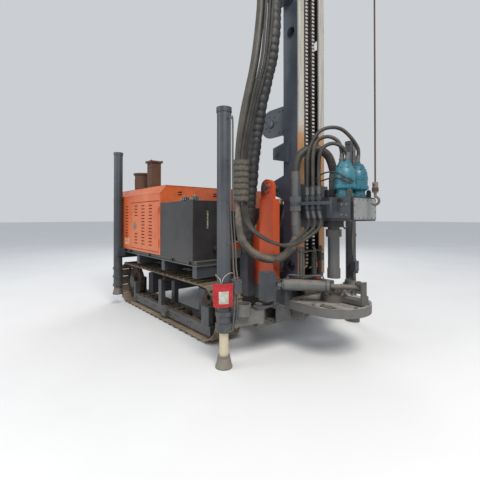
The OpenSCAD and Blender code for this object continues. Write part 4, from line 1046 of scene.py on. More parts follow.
for y in CHAIN_YS:
    for k, gap in enumerate(PLATE_GAPS):
        starts = [(0, v + PLATE_THICK / 2, 0) for v in (-gap, gap)]
        pair = joined(*(prism(eight, start, X, UP, PLATE_THICK) for start in starts))
        plates.add(*repeat(pair, standing(plate_middles[k::2], y), plate_turns[k::2]))
    rollers.add(*repeat(roller, standing(knots, y)))
plates.make("mast_chain_plates", "mast", link_steel, "bright_steel", 30, ["feed_chains"])
rollers.make("mast_chain_rollers", "mast", chain_steel, "bright_steel", 40, ["feed_chains"])

sprockets = Shape()
for z in (LOW_END, HIGH_END):
    for y in CHAIN_YS:
        disc = toothed(10, 10, 0.0605, 0.0045, 1.3)
        sprockets.add(*plate(disc, at(CHAIN_A, y + 0.006, z), X, UP, 0.012, 0.001))
sprockets.make("mast_sprocket_teeth", "mast", link_steel)
print(count, "links in each of two chains")

# %% mast bolts and winch
BEAD = [(0.052, -0.0005), (0.060, 0.0005), (0.060, 0.004), (0.052, 0.004)]
WINCH, ROPE_TURNS, DRUM_HALF, DRUM_R = at(-0.220, 0, 2.300), 22, 0.157, 0.0825
mast, bearings = Shape(), Shape()
for side in (-1, 1):
    for z in (0.805, 3.170, 5.535):
        mast.add(*lathe(BEAD, at(0.072, side * 0.210, z), side * Y, 40, True))
    for z in (2.19, 2.41):
        mast.add(*bolts([at(a, side * 0.200, z) for a in (-0.10, -0.05)], side * Y, 0.016, 0.008))
    pin_plate = around(at(-0.117, side * 0.381, 1.600), 0.055, 6, axes=(X, UP))
    mast.add(*bolts(pin_plate, side * Y, 0.016, 0.008))
    cap = [(0.045, -0.002), (0.045, 0.012), (0.030, 0.018)]
    bearings.add(*lathe(cap, WINCH + side * 0.200 * Y, side * Y, 24))
mast.make("mast_bolts", "mast", mast_paint)
t = np.linspace(0, 1, 20 * ROPE_TURNS + 1)
w = 2 * math.pi * ROPE_TURNS * t
layer = np.stack([DRUM_R * np.cos(w), DRUM_HALF * (2 * t - 1), DRUM_R * np.sin(w)], axis=1)
rope = Shape().add(*tube(WINCH + layer, 0.0068, 6))
rope.make("winch_rope_turns", "winch", bright_steel, "bright_steel")
bearings.make("winch_bearing_caps", "mast", mast_paint)
print("winch wound with", ROPE_TURNS, "turns of rope")

# %% [markdown]
# ## Drilling head
# Two piston motors stand on the gearbox. Each is a turned body with a bolted rim and a port cap; the hoses
# end on the caps in crimped collars. The cover plate in front is held by a row of screws, and round
# unions join the hose to the pipe beside the gearbox. Turned bodies are profiles of radius and height, as
# a lathe would cut them: fewer points than a sculpted casting, and the rims come out sharp.

# %% motors
DRILL_A, MOTOR_A, MOTOR_Y, MOTOR_FOOT = 0.430, 0.618, 0.108, 1.477
GEAR_FACE = 0.756
motors, screws = Shape(), Shape()
motor_profile = [
    (0.080, MOTOR_FOOT), (0.081, 1.497), (0.070, 1.501), (0.068, 1.538), (0.088, 1.553), (0.096, 1.557),
    (0.097, 1.582), (0.091, 1.586), (0.091, 1.640), (0.0945, 1.643), (0.0945, 1.672), (0.091, 1.676),
    (0.088, 1.714), (0.078, 1.734), (0.070, 1.741), (0.066, 1.768), (0.056, 1.774), (0.055, 1.790),
]
lug_profile = [(0.012, 1.553), (0.013, 1.556), (0.013, 1.583), (0.012, 1.588)]
bleed_screw = [(0.010, 0.0), (0.010, 0.022), (0.006, 0.026)]
port_boss = [(0.024, -0.045), (0.024, -0.004), (0.020, 0.0)]
for y in (-MOTOR_Y, MOTOR_Y):
    centre = at(MOTOR_A, y, 0)
    motors.add(*lathe(motor_profile, centre, UP, 40))
    motors.add(*block((0.576, y - 0.050, 1.738), (0.662, y + 0.050, 1.785), 0.006))
    motors.add(*block((0.664, y - 0.026, 1.600), (0.704, y + 0.026, 1.690), 0.006))
    for place in around(centre, 0.088, 6, 0.35):
        motors.add(*lathe(lug_profile, place, UP, 14))
    spots = around(centre, 0.076, 8, 0.2)
    screws.add(*bolts(spots + 1.736 * UP, UP, 0.011, 0.008))
    screws.add(*bolts(spots + 1.497 * UP, UP, 0.014, 0.010))
    side_port = [at(0.704, y + d, z) for d in (-0.015, 0.015) for z in (1.618, 1.672)]
    screws.add(*bolts(side_port, X, 0.011, 0.006))
    for d in (-0.042, 0.042):
        screws.add(*lathe(bleed_screw, at(MOTOR_A, y + d, 1.790), (0, d, 0.35), 12))
for path in head_paths:
    motors.add(*lathe(port_boss, path[-1], UP, 18))
motors.make("motor_bodies", "head", motor_paint, "motor_paint", 32, ["drive_motors"])
print("two motors with", len(head_paths), "ports")

# %% gearbox cover, screws and lugs
for y in np.linspace(-0.176, 0.176, 6):
    screws.add(*bolts([at(GEAR_FACE, y, z) for z in (1.289, 1.450)], X, 0.014, 0.006))
sides_of_cover = [at(GEAR_FACE, y, z) for y in (-0.176, 0.176) for z in (1.343, 1.397)]
screws.add(*bolts(sides_of_cover, X, 0.014, 0.006))
screws.add(*bolts(around(at(DRILL_A, 0, 1.555), 0.072, 10), UP, 0.014, 0.008))
for side in (-1, 1):
    carriage = [at(a, side * 0.223, z) for a in (0.10, 0.16, 0.66, 0.71) for z in (1.315, 1.405)]
    screws.add(*bolts(carriage, side * Y, 0.018, 0.009))
screws.make("head_screws", "head", pipe_steel, "bright_steel")
cover = plate(rounded(0.376, 0.186, 0.012), at(GEAR_FACE + 0.0002, 0, 1.3695), Y, UP, 0.0030, 0.001)
Shape().add(*cover).make("gearbox_cover", "head", cover_grey)
lugs = Shape()
half_turn = np.linspace(0, math.pi, 9)
arch = [(-0.022, 0), (0.022, 0)] + [(0.022 * math.cos(t), 0.052 + 0.022 * math.sin(t)) for t in half_turn]
for y, a in ((-0.165, 0.700), (0.165, 0.700), (-0.165, 0.350)):
    lugs.add(*plate(arch, at(a, y + 0.007, MOTOR_FOOT), X, UP, 0.014, 0.002))
lugs.add(*block((0.262, -0.212, 1.262), (0.742, 0.212, 1.272), 0.003))
lugs.make("head_lugs", "head", tank_paint)
print("cover plate and three lifting lugs")


# %% hose collars
def collar(shape, path, from_end, length, inner, outer, sides=18, nut=0.0):
    """A crimped steel collar round a hose's end, with six shallow crimps and a hexagon nut beyond it."""
    p, q = (path[0], path[1]) if from_end == 0 else (path[-1], path[-2])
    way = (q - p) / np.linalg.norm(q - p)
    h = np.linspace(0.0, length, 7)
    r = outer - 0.0012 * (np.arange(7) % 2)
    profile = [(inner, 0.0), *zip(r, h), (inner, length)]
    shape.add(*lathe(profile, p + way * nut, way, sides, True))
    if nut:
        wide, low, high = outer * 1.16, 0.002, nut - 0.002
        shape.add(*lathe([(outer * 1.02, 0), (wide, low), (wide, high), (outer * 1.02, nut)], p, way, 6))


on_head, on_bracket = Shape(), Shape()
for path in head_paths:
    collar(on_head, path, 0, 0.058, 0.0168, 0.0215, nut=0.018)
    collar(on_head, path, 1, 0.050, 0.0168, 0.0215, nut=0.016)
for path in small_paths:
    collar(on_head, path, 1, 0.046, 0.0138, 0.0180, nut=0.014)
collar(on_head, main_path, 1, 0.085, 0.0405, 0.0470, 28)
for end in (0, 1):
    collar(on_head, elbow_path, end, 0.075, 0.0395, 0.0460, 28)
on_head.make("hose_collars_head", "head", pipe_steel, "bright_steel")
for path, r in zip([main_path, *small_paths, bundle_path], (0.041, 0.014, 0.014, 0.014, 0.062)):
    collar(on_bracket, path, 0, 0.06, r * 0.98, r + 0.005, 20)
on_bracket.make("hose_collars_mast", "mast", pipe_steel)

hoops = Shape()
for a in (0.33, 0.62):
    hoop = line(
        (a, -0.150, 1.262), (a + 0.004, -0.150, 1.230), (a + 0.030, -0.152, 1.196),
        (a + 0.058, -0.152, 1.224), (a + 0.062, -0.150, 1.262),
    )
    hoops.add(*tube(even_path(hoop, 0.008), 0.0065, 8))
hoops.make("head_hoops", "head", black_rubber)
print(2 * len(head_paths) + len(small_paths) + 3, "collars on the head and two rubber hoops")

# %% [markdown]
# ## Table and breakout wrench
# The round table carries a turning ring with a cylinder beside it. The cylinder has two ports joined by a
# thin pipe, and the table has clamp screws, a peg and a wiper round its bore. The cylinder stands at a
# slant, so its parts are placed by their length along it instead of by the rig's own axes.

# %% wrench cylinder
TURN = math.atan2(0.440, 0.572)
ALONG = np.array([math.cos(TURN), math.sin(TURN), 0])
ACROSS = np.cross(UP, ALONG)
PIVOT = at(0.120, -0.440, 0.662)


def on_barrel(u, side, up):
    """A place on the wrench cylinder: u along it from its rear pin."""
    return PIVOT + u * ALONG + side * ACROSS + up * UP


port = [(0.020, 0.046), (0.020, 0.062), (0.014, 0.066)]
clamp = [(0.048, -0.006), (0.056, -0.004), (0.056, 0.004), (0.048, 0.006)]
wiper = [(0.0227, -0.012), (0.030, -0.010), (0.030, 0.0), (0.0227, 0.002)]
pipe_route = [
    (0.085, 0, 0.060), (0.085, 0, 0.082), (0.105, 0, 0.092), (0.20, 0.004, 0.088),
    (0.30, -0.004, 0.092), (0.390, 0, 0.092), (0.410, 0, 0.082), (0.410, 0, 0.060),
]
barrel = Shape()
for u in (0.085, 0.410):
    barrel.add(*lathe(port, on_barrel(u, 0, 0), UP, 14))
barrel.add(*tube(even_path([on_barrel(*p) for p in pipe_route], 0.010), 0.0065, 10))
for u in (0.052, 0.432):
    barrel.add(*lathe(clamp, on_barrel(u, 0, 0), ALONG, 32))
barrel.make("wrench_ports", "wrench_barrel", frame_paint)
seal = Shape().add(*lathe(wiper, on_barrel(0.478, 0, 0), ALONG, 24, True))
seal.make("wrench_wiper", "wrench_barrel", black_rubber)
print("ports, pipe and wiper on the wrench cylinder")

# %% table fittings
TABLE_TOP = 0.500
table = Shape()
rim_bolts = around(at(DRILL_A, 0, TABLE_TOP), 0.310, 10, 0.3)
table.add(*bolts(rim_bolts[[0, 1, 2, 7, 8, 9]], UP, 0.022, 0.012))
table.add(*bolts([at(0.225, y, TABLE_TOP) for y in (-0.30, -0.24, 0.24, 0.30)], UP, 0.022, 0.012))
peg = at(0.700, 0.120, TABLE_TOP)
table.add(*lathe([(0.016, -0.004), (0.016, 0.066), (0.012, 0.070)], peg, UP, 18))
table.add(*lathe([(0.028, -0.002), (0.028, 0.010), (0.018, 0.012)], peg, UP, 18))
table.add(*plate(rounded(0.120, 0.050, 0.010), at(0.540, -0.270, TABLE_TOP), X, Y, 0.014, 0.002))
table.add(*bolts([at(0.540 + d, -0.270, TABLE_TOP + 0.014) for d in (-0.04, 0.04)], UP, 0.018, 0.010))
table.add(*plate(rounded(0.090, 0.050, 0.010), at(0.300, 0.255, TABLE_TOP), X, Y, 0.030, 0.002))
table.make("table_fittings", "chassis", pipe_steel)
print("table dressed")

# %% rods and spring at the foot of the mast
SPRING, COILS = at(0.206, -0.013, 0.722), 15
rods = Shape()
foot_rods = ((0.208, -0.218, 0.014), (0.204, -0.184, 0.009), (0.206, -0.013, 0.010), (0.206, 0.097, 0.013))
for a, y, r in foot_rods:
    rods.add(*tube(even_path(line((a, y, 0.690), (a, y, 0.850), (a, y, 1.005)), 0.06), r, 14))
    for z in (0.712, 0.965):
        rods.add(*lathe([(r + 0.008, 0.0), (r + 0.008, 0.018), (r, 0.024)], at(a, y, z), UP, 6))
for z in (0.700, 0.953):
    rods.add(*block((0.170, -0.236, z), (0.226, 0.116, z + 0.012), 0.003))
rods.add(*block((0.184, 0.072, 0.855), (0.232, 0.122, 0.930), 0.005))
rods.add(*bolts([at(0.232, 0.097, z) for z in (0.873, 0.912)], X, 0.016, 0.008))
t = np.linspace(0, 1, 14 * COILS + 1)
w = 2 * math.pi * COILS * t
coil = SPRING + np.stack([0.0235 * np.cos(w), 0.0235 * np.sin(w), 0.229 * t], axis=1)
rods.add(*tube(coil, 0.0055, 7))
rods.make("mast_foot_rods", "mast", pipe_steel)
print("four rods and a spring of", COILS, "turns")

# %% ring fittings
RING_TOP = 0.566
ring_parts = Shape()
ring_parts.add(*bolts(around(at(DRILL_A, 0, RING_TOP), 0.104, 8, 0.25), UP, 0.018, 0.010))
for t in (2.2, 3.9):
    stud = at(DRILL_A + 0.095 * math.cos(t), 0.095 * math.sin(t), RING_TOP)
    ring_parts.add(*lathe([(0.020, 0.0), (0.020, 0.034), (0.016, 0.038)], stud, UP, 16))
ring_parts.make("wrench_screws", "wrench", link_steel)
print("eight screws and two studs on the turning ring")

# %% [markdown]
# ## Hood, tank and deck
# The hood is thin sheet: pressed louvre lips over the slots, a frame bent round each door, narrow seams,
# screws along the folds, a round lock and a blank pale plate. A lip is a small swelling surface rather
# than a bump in the paint, because its shadow is what shows from afar. Dark blocks stand behind the slots
# as painted shade: they keep daylight from shining through, so the slots stay as dark as the hood's
# inside.


# %% louvres
def slab_faces(rows, cols):
    """Faces of a thin closed slab: a grid in front, the same grid turned round behind it, and the rim."""
    i, j, n = np.arange(rows), np.arange(cols), rows * cols
    down, back = (i[::-1] * cols + cols - 1)[1:], j[::-1][1:-1]
    rim = np.concatenate([i * cols, (rows - 1) * cols + j[1:], down, back])
    after = np.roll(rim, -1)
    front = grid_faces(rows, cols)
    return [front[:, ::-1], front + n, np.stack([rim, after, after + n, rim + n], axis=1)]


def louvre(place, side, long=0.112, high=0.012):
    """A pressed lip over a slot, swelling from the sheet and closed at its ends:
    out = 0.0004 + 0.0065 sin(pi u)^0.45 sin(0.72 pi v), with u along it and v up it."""
    rows, cols, thick = 11, 6, 0.0006
    u, v = np.meshgrid(np.linspace(0, 1, rows), np.linspace(0, 1, cols), indexing="ij")
    swell = 0.0065 * np.sin(math.pi * u) ** 0.45 * np.sin(math.pi * v * 0.72)
    lip = np.stack([(u - 0.5) * long, side * (swell + 0.0004), (v - 0.15) * high], -1).reshape(-1, 3)
    back = lip * [1, 0, 1] - side * thick * Y
    faces = slab_faces(rows, cols)
    if side > 0:
        faces = [f[:, ::-1] for f in faces]
    return place + np.concatenate([lip, back]), faces


print("a louvre tool")

# %% doors and sides of the hood
EAVE, ROOF, DECK, HOOD_Y = 1.590, 1.690, 0.841, 0.936
ROWS, ROW_STEP, FIRST_ROW = 13, 0.042, DECK + 0.1075
DOOR_REAR, DOOR_FRONT, SEAM = -2.259, -1.404, 0.008
DOOR_LOW, DOOR_HIGH = DECK + 0.040, EAVE - 0.104
SEAM_OUT, SHADE_BLOCK_OUT, PLATE_OUT = (0.9335, 0.9365), (0.914, 0.926), (0.9358, 0.9368)
lock_dish = [(0.046, -0.001), (0.048, 0.004), (0.044, 0.009), (0.030, 0.010), (0.026, 0.006)]
lock_barrel = [(0.012, 0.004), (0.012, 0.013), (0.009, 0.015)]
door_frame = [
    ((DOOR_REAR, DOOR_FRONT), (DOOR_HIGH - SEAM, DOOR_HIGH)),
    ((DOOR_REAR, DOOR_FRONT), (DOOR_LOW, DOOR_LOW + SEAM)),
    ((DOOR_REAR, DOOR_REAR + SEAM), (DOOR_LOW + SEAM, DOOR_HIGH - SEAM)),
    ((DOOR_FRONT - SEAM, DOOR_FRONT), (DOOR_LOW + SEAM, DOOR_HIGH - SEAM)),
]
for side, name in ((-1, "right"), (1, "left")):
    door, panel = Shape(), Shape()
    for i in range(ROWS):
        z = FIRST_ROW + ROW_STEP * i
        for a in (-1.635, -1.860, -2.090):
            beside_lock = a < -2.0 and abs(i - ROWS // 2) <= 2
            if not beside_lock:
                door.add(*louvre(at(a, side * HOOD_Y, z), side))
        for a in (-2.420, -2.650, -2.880):
            panel.add(*louvre(at(a, side * HOOD_Y, z), side))
    for a_range, z_range in door_frame:
        door.add(*side_block(side, a_range, SEAM_OUT, z_range, 0.0008))
    door.make(f"door_{name}_pressings", f"door_{name}", hood_paint)
    for a in (-2.300, -2.975):
        panel.add(*side_block(side, (a, a + 0.012), SEAM_OUT, (DOOR_LOW, DOOR_HIGH), 0.001))
    for a in np.arange(-2.94, -1.38, 0.26):
        panel.add(*bolts([at(a, side * HOOD_Y, EAVE - 0.045)], side * Y, 0.012, 0.004))
    panel.make(f"hood_{name}_pressings", "chassis", hood_paint)
    middle = at(-2.130, side * HOOD_Y, 1.181)
    lock = Shape().add(*lathe(lock_dish, middle, side * Y, 36))
    lock.add(*lathe(lock_barrel, middle, side * Y, 16))
    lock.make(f"door_{name}_lock", f"door_{name}", zinc)
    # painted shade: dark blocks behind the slots of the door and of the rear panel
    shade_block = side_block(side, (-2.236, -1.426), SHADE_BLOCK_OUT, (DECK + 0.062, EAVE - 0.126), 0.003)
    Shape().add(*shade_block).make(f"door_{name}_foam", f"door_{name}", black_foam)
    shade_block = side_block(side, (-2.950, -2.308), SHADE_BLOCK_OUT, (DECK + 0.030, EAVE - 0.118), 0.003)
    Shape().add(*shade_block).make(f"hood_{name}_foam", "chassis", black_foam)
    note = side_block(side, (-2.500, -2.330), PLATE_OUT, (0.905, 1.000), 0.0004)
    Shape().add(*note).make(f"hood_{name}_blank_plate", "chassis", blank_plate)
print(ROWS, "rows of louvres on both sides, locks and blank plates")

# %% roof folds, front flange and gable
HOOD_REAR, HOOD_FRONT, ROOF_Y = -2.988, -1.362, 0.846
folds = Shape()
for side in (-1, 1):
    for y, z in ((side * HOOD_Y, EAVE + 0.0005), (side * ROOF_Y, ROOF)):
        folds.add(*tube(line((HOOD_REAR, y, z), (HOOD_FRONT, y, z)), 0.0035, 8))
    slope = (0, side * 0.743, 0.669)
    for a in np.arange(-2.9, -1.4, 0.35):
        folds.add(*bolts([at(a, side * 0.895, 1.6375)], slope, 0.012, 0.004))
edge_screws = [at(-1.360, y, z) for y in (-0.87, 0.87) for z in (1.10, 1.35, 1.53)]
edge_screws += [at(-1.360, y, 1.662) for y in (-0.78, -0.3, 0.3, 0.78)]
folds.add(*bolts(edge_screws, X, 0.012, 0.004))
folds.add(*block((-2.30, -0.45, ROOF), (-1.60, 0.45, ROOF + 0.006), 0.003))
outer = np.array([(0.930, DECK + 0.002), (0.930, EAVE - 0.003), (0.843, ROOF - 0.005)])
inner = np.array([(0.876, DECK + 0.002), (0.876, EAVE - 0.052), (0.826, ROOF - 0.036)])
outer, inner = (np.concatenate([p, p[::-1] * (-1, 1)]) for p in (outer, inner))
behind, before = LEG_LINE - 1.3725, LEG_LINE - 1.3665
flange = ((outer, behind), (inner, behind), (inner, before), (outer, before))
rings = np.stack([np.insert(p, 0, x, axis=1) for p, x in flange], axis=1)
folds.add(rings, [grid_faces(6, 4, wrap_cols=True), *end_faces(5 * 4, 4)])
gable = [(-0.930, 1.497), (0.930, 1.497), *outer[1:5]]
folds.add(*plate(gable, at(-2.9898, 0, 0), Y, UP, 0.005, 0.001))
folds.add(*bolts([at(-2.9898, y, 1.512) for y in np.linspace(-0.88, 0.88, 7)], -X, 0.012, 0.004))
folds.make("hood_folds", "chassis", hood_paint)
print("roof folds, a flange in front and a strip over the grille")

# %% front louvres, painted-shade blocks and engine
FRONT_SLOTS = (-0.666, -0.128, 0.410)
lip, lip_faces = louvre(ORIGIN, 1, 0.068, 0.014)
facing_front = np.stack([lip[:, 1], -lip[:, 0], lip[:, 2]], axis=1)
bars, shade_block = Shape(), Shape()
for y in FRONT_SLOTS:
    for z in (1.584, 1.614):
        bars.add(at(-1.3598, y, z) + facing_front, lip_faces)
    # painted shade: a dark block behind each pair of front slots
    shade_block.add(*block((-1.376, y - 0.06, 1.555), (-1.3655, y + 0.06, 1.625), 0.002))
bars.make("hood_front_louvres", "chassis", hood_paint)
shade_block.make("front_wall_foam", "chassis", black_foam)
engine = Shape()
for k in range(4):
    z = 1.02 + 0.10 * k
    engine.add(*block((-1.640, -0.26 + 0.02 * k, z - 0.03), (-1.560, 0.26 - 0.03 * k, z + 0.03), 0.008))
big_pulley = [(0.130, 0.0), (0.150, 0.010), (0.150, 0.045), (0.040, 0.050), (0.030, 0.075)]
small_pulley = [(0.060, 0.0), (0.070, 0.006), (0.070, 0.034), (0.030, 0.040)]
engine.add(*lathe(big_pulley, at(-1.620, 0.0, 1.060), X, 40))
engine.add(*lathe(small_pulley, at(-1.620, 0.180, 1.280), X, 30))
for y, z in ((-0.22, 1.25), (0.24, 1.10)):
    pipe = line(
        (-1.60, y, z), (-1.52, y, z + 0.02), (-1.48, y * 0.6, z + 0.10), (-1.50, y * 0.2, z + 0.08),
        (-1.60, 0, z + 0.05),
    )
    engine.add(*tube(even_path(pipe, 0.02), 0.022, 12))
engine.make("engine_front", "chassis", link_steel)
print("front louvres and the engine's pulleys")

# %% tank welds and lid
TANK_REAR, TANK_FRONT, TANK_TOP = -1.350, -0.621, 1.468
LID = at(-0.985, -0.700, TANK_TOP)
tank = Shape()
for y in (-0.932, -0.462):
    for a in (TANK_REAR + 0.001, TANK_FRONT - 0.001):
        z = np.linspace(DECK + 0.004, TANK_TOP - 0.004, 60)
        seam = np.stack([np.full(60, LEG_LINE + a), np.full(60, y), z], axis=1)
        tank.add(*tube(seam, 0.0032 + 0.0012 * np.sin(z * 900), 6))
foot_corners = line(
    (TANK_REAR, -0.9325, DECK + 0.003), (TANK_FRONT - 0.0015, -0.9325, DECK + 0.003),
    (TANK_FRONT - 0.0015, -0.4615, DECK + 0.003),
)
t = np.linspace(0, 1, 80)
for start, end in zip(foot_corners, foot_corners[1:]):
    seam = start + t[:, None] * (end - start)
    tank.add(*tube(seam, 0.0042 + 0.001 * np.sin(t * 240), 6))
tank.add(*plate(rounded(0.62, 0.30, 0.02), LID, X, Y, 0.010, 0.002))
lid_places = [(dx, dy, 0.010) for dx in (-0.285, -0.14, 0, 0.14, 0.285) for dy in (-0.125, 0.125)]
tank.add(*bolts(LID + np.array(lid_places), UP, 0.014, 0.007))
tank.make("tank_welds", "chassis", tank_paint)
print("weld beads and a bolted lid")

# %% tank caps and sight glass
cap_profile = [
    (0.060, 0.0), (0.062, 0.012), (0.050, 0.020), (0.046, 0.024), (0.046, 0.044), (0.040, 0.052),
    (0.016, 0.052),
]
valve = [
    (0.034, 0.0), (0.034, 0.014), (0.026, 0.016), (0.026, 0.044), (0.030, 0.046), (0.030, 0.056),
    (0.020, 0.058), (0.020, 0.074),
]
vent = [(0.016, 0.0), (0.016, 0.012), (0.011, 0.016)]
GAUGE = at(TANK_FRONT, -0.758, 1.270)
caps, bright, gauge = Shape(), Shape(), Shape()
rib = lathe([(0.005, 0), (0.005, 0.026)], ORIGIN, UP, 8)
for a in (-0.760, -0.960):
    centre = at(a, -0.820, TANK_TOP)
    caps.add(*lathe(cap_profile, centre, UP, 36))
    bright.add(*repeat(rib, around(centre + 0.022 * UP, 0.0445, 12)))
    bright.add(*lathe(vent, centre + [0.028, -0.02, 0.052], UP, 14))
    bright.add(*bolts(around(centre + 0.014 * UP, 0.054, 6), UP, 0.010, 0.005))
caps.make("tank_caps", "chassis", black_plastic, "tank_paint", 35, ["tank_fittings"])
gauge.add(*plate(rounded(0.044, 0.204, 0.020), GAUGE, Y, UP, 0.008, 0.002))
for z in (1.185, 1.355):
    bright.add(*bolts([at(TANK_FRONT + 0.010, -0.758, z)], X, 0.020, 0.012))
gauge.add(*lathe(valve, at(TANK_FRONT, -0.667, 0.964), X, 28))
bright.make("tank_fittings_bright", "chassis", zinc)
gauge.make("tank_gauge_back", "chassis", black_plastic)
glass = lathe([(0.0085, -0.072), (0.0085, 0.072)], GAUGE + 0.013 * X, UP, 14)
Shape().add(*glass).make("tank_sight_glass", "chassis", sight_glass)
print("two caps, a valve and a sight glass")

# %% deck bolts and console
DIALS = [at(-0.6215, y, 1.170) for y in (-0.20, -0.04, 0.12)]
bezel = [(0.042, -0.002), (0.044, 0.010), (0.040, 0.014), (0.037, 0.011)]
boot = [(0.014, 0.0), (0.017, 0.004), (0.012, 0.020), (0.009, 0.026)]
deck, console, dials = Shape(), Shape(), Shape()
for side in (-1, 1):
    for a in np.arange(-2.90, -0.60, 0.285):
        deck.add(*bolts([at(a, side * 0.905, DECK)], UP, 0.016, 0.008))
    for a in (-2.34, -1.72, -1.10, -0.72):
        deck.add(*side_block(side, (a - 0.005, a + 0.005), (0.898, 0.922), (0.794, 0.832), 0.001))
deck.make("deck_bolts", "chassis", frame_paint)
for k in range(8):
    console.add(*lathe(boot, at(-0.700, -0.400 + 0.050 * k, 1.346), (0.63, 0, 0.777), 16))
for place in DIALS:
    console.add(*lathe(bezel, place, X, 32))
    dials.add(*lathe([(0.036, 0.009), (0.036, 0.0118)], place, X, 28))
console.make("console_boots", "chassis", black_plastic)
dials.make("console_dials", "chassis", clear_film)
print("deck bolts, lever boots and", len(DIALS), "dials")

# %% [markdown]
# ## Legs, feet and the tag
# The jack rods are pale and stand in dark flanged feet. Each front leg has clamp bolts, a lock valve with
# two pipes and a grooved guide strip. Rod and foot are turned bodies that replace the plain solids, so
# both move with their jack. Straight pipes would do for the eye, but real ones bow round the valve, so
# they are curves through a few points.

# %% jacks
LEG_Y, REAR_LEG_A, REAR_UP = 1.0, -2.600, 0.165
CAP_Z, CAP_BEAD = 2.205, [(0.062, 0.0), (0.067, 0.003), (0.067, 0.012), (0.062, 0.015)]
foot_profile = [
    (0.072, 0.0005), (0.075, 0.004), (0.074, 0.014), (0.070, 0.018), (0.0570, 0.080),
    (0.0520, 0.086), (0.0550, 0.088), (0.0550, 0.104), (0.0520, 0.110), (0.0405, 0.110),
]
for end, a, up in (("front", 0.0, 0.0), ("rear", REAR_LEG_A, REAR_UP)):
    for name, y in (("right", -LEG_Y), ("left", LEG_Y)):
        body = f"jack_{end}_{name}"
        rod = Shape().add(*lathe([(0.0400, up + 0.100), (0.0400, 1.500)], at(a, y, 0), UP, 40))
        rod.make(f"{body}_rod", body, rod_steel, "bright_steel", 35, [body])
        foot = Shape().add(*lathe(foot_profile, at(a, y, up), UP, 44))
        foot.make(f"{body}_foot", body, foot_steel, "frame_paint")
print("four jacks with dark feet")

# %% leg guides, pipes and bolts
stub = [(0.013, 0.0), (0.013, 0.020), (0.010, 0.024)]
upper_stub = [(0.013, 0.0), (0.013, 0.018), (0.010, 0.022)]
for side, name in ((-1, "right"), (1, "left")):
    y = side * LEG_Y
    leg, pipes = Shape(), Shape()
    for z in (0.381, 0.486):
        for d in (-0.016, 0.016):
            leg.add(*bolts([at(0.050 + d, y - side * 0.062 + d, z)], UP, 0.022, 0.010))
    leg.add(*lathe(CAP_BEAD, at(0, y, CAP_Z), UP, 44))
    leg.add(*block((0.056, y - 0.012, 0.560), (0.066, y + 0.012, 2.180), 0.003))
    for z in np.arange(0.70, 2.15, 0.36):
        leg.add(*block((0.054, y - 0.020, z), (0.069, y + 0.020, z + 0.030), 0.002))
    valve_y = y - side * 0.016
    leg.add(*block((0.058, valve_y - 0.022, 0.605), (0.102, valve_y + 0.022, 0.640), 0.003))
    leg.make(f"leg_{name}_guides", f"leg_{name}", frame_paint)
    for k, d in enumerate((0.045, 0.075)):
        py = y - side * d
        low_pipe = line(
            (0.085, py, 0.640), (0.086, py, 0.600), (0.090, py, 0.520), (0.078, py, 0.420),
            (0.060, py + side * 0.02 * k, 0.330), (0.052, py + side * 0.02, 0.310),
        )
        high_pipe = line(
            (0.090, py, 0.760), (0.090, py, 0.800), (0.075, py, 0.860), (0.068, py, 1.000),
            (0.068, py + side * 0.028, 1.400), (0.066, py + side * 0.030, 2.120),
            (0.060, py + side * 0.035, 2.150),
        )
        pipes.add(*tube(even_path(low_pipe, 0.012), 0.0085, 10))
        pipes.add(*lathe(stub, at(0.085, py, 0.640), -UP, 12))
        pipes.add(*tube(even_path(high_pipe, 0.03), 0.0075, 10))
        pipes.add(*lathe(upper_stub, at(0.090, py, 0.760), UP, 12))
    valve_bolts = [at(0.122, y - side * 0.060 + d, z) for d in (-0.025, 0.025) for z in (0.66, 0.74)]
    pipes.add(*bolts(valve_bolts, X, 0.014, 0.008))
    pipes.make(f"leg_{name}_pipes", f"leg_{name}", pipe_steel)
print("pipes and guides on the front legs")

# %% rear leg bolts
for side, name in ((-1, "right"), (1, "left")):
    rear, rear_leg = Shape(), at(REAR_LEG_A, side * LEG_Y, 0)
    for z in (0.434, 0.554):
        rear.add(*bolts(around(rear_leg + z * UP, 0.066, 8), UP, 0.010, 0.006))
    bracket = [at(REAR_LEG_A + d, side * 0.945, DECK) for d in (-0.070, 0.070)]
    rear.add(*bolts(bracket, UP, 0.024, 0.012))
    rear.add(*lathe(CAP_BEAD, rear_leg + CAP_Z * UP, UP, 44))
    rear.make(f"rear_leg_bolts_{name}", "chassis", frame_paint)
print("bolts on the rear legs")

# %% [markdown]
# ### The red pocket
# A red cloth pocket with a blank window hangs on the right leg by a white string. It is one wavy sheet
# with a front and a back that swell a little.
# A cloth simulation would give truer folds, but on a bag of this size a few waves look the same.

# %% red pocket
POCKET_WIDE, POCKET_HIGH, POCKET_TOP, STAND_OFF = 0.173, 0.200, 0.745, 0.094
OUTWARD, SIDEWAYS = np.array([0.8, -0.6, 0]), np.array([0.6, 0.8, 0])


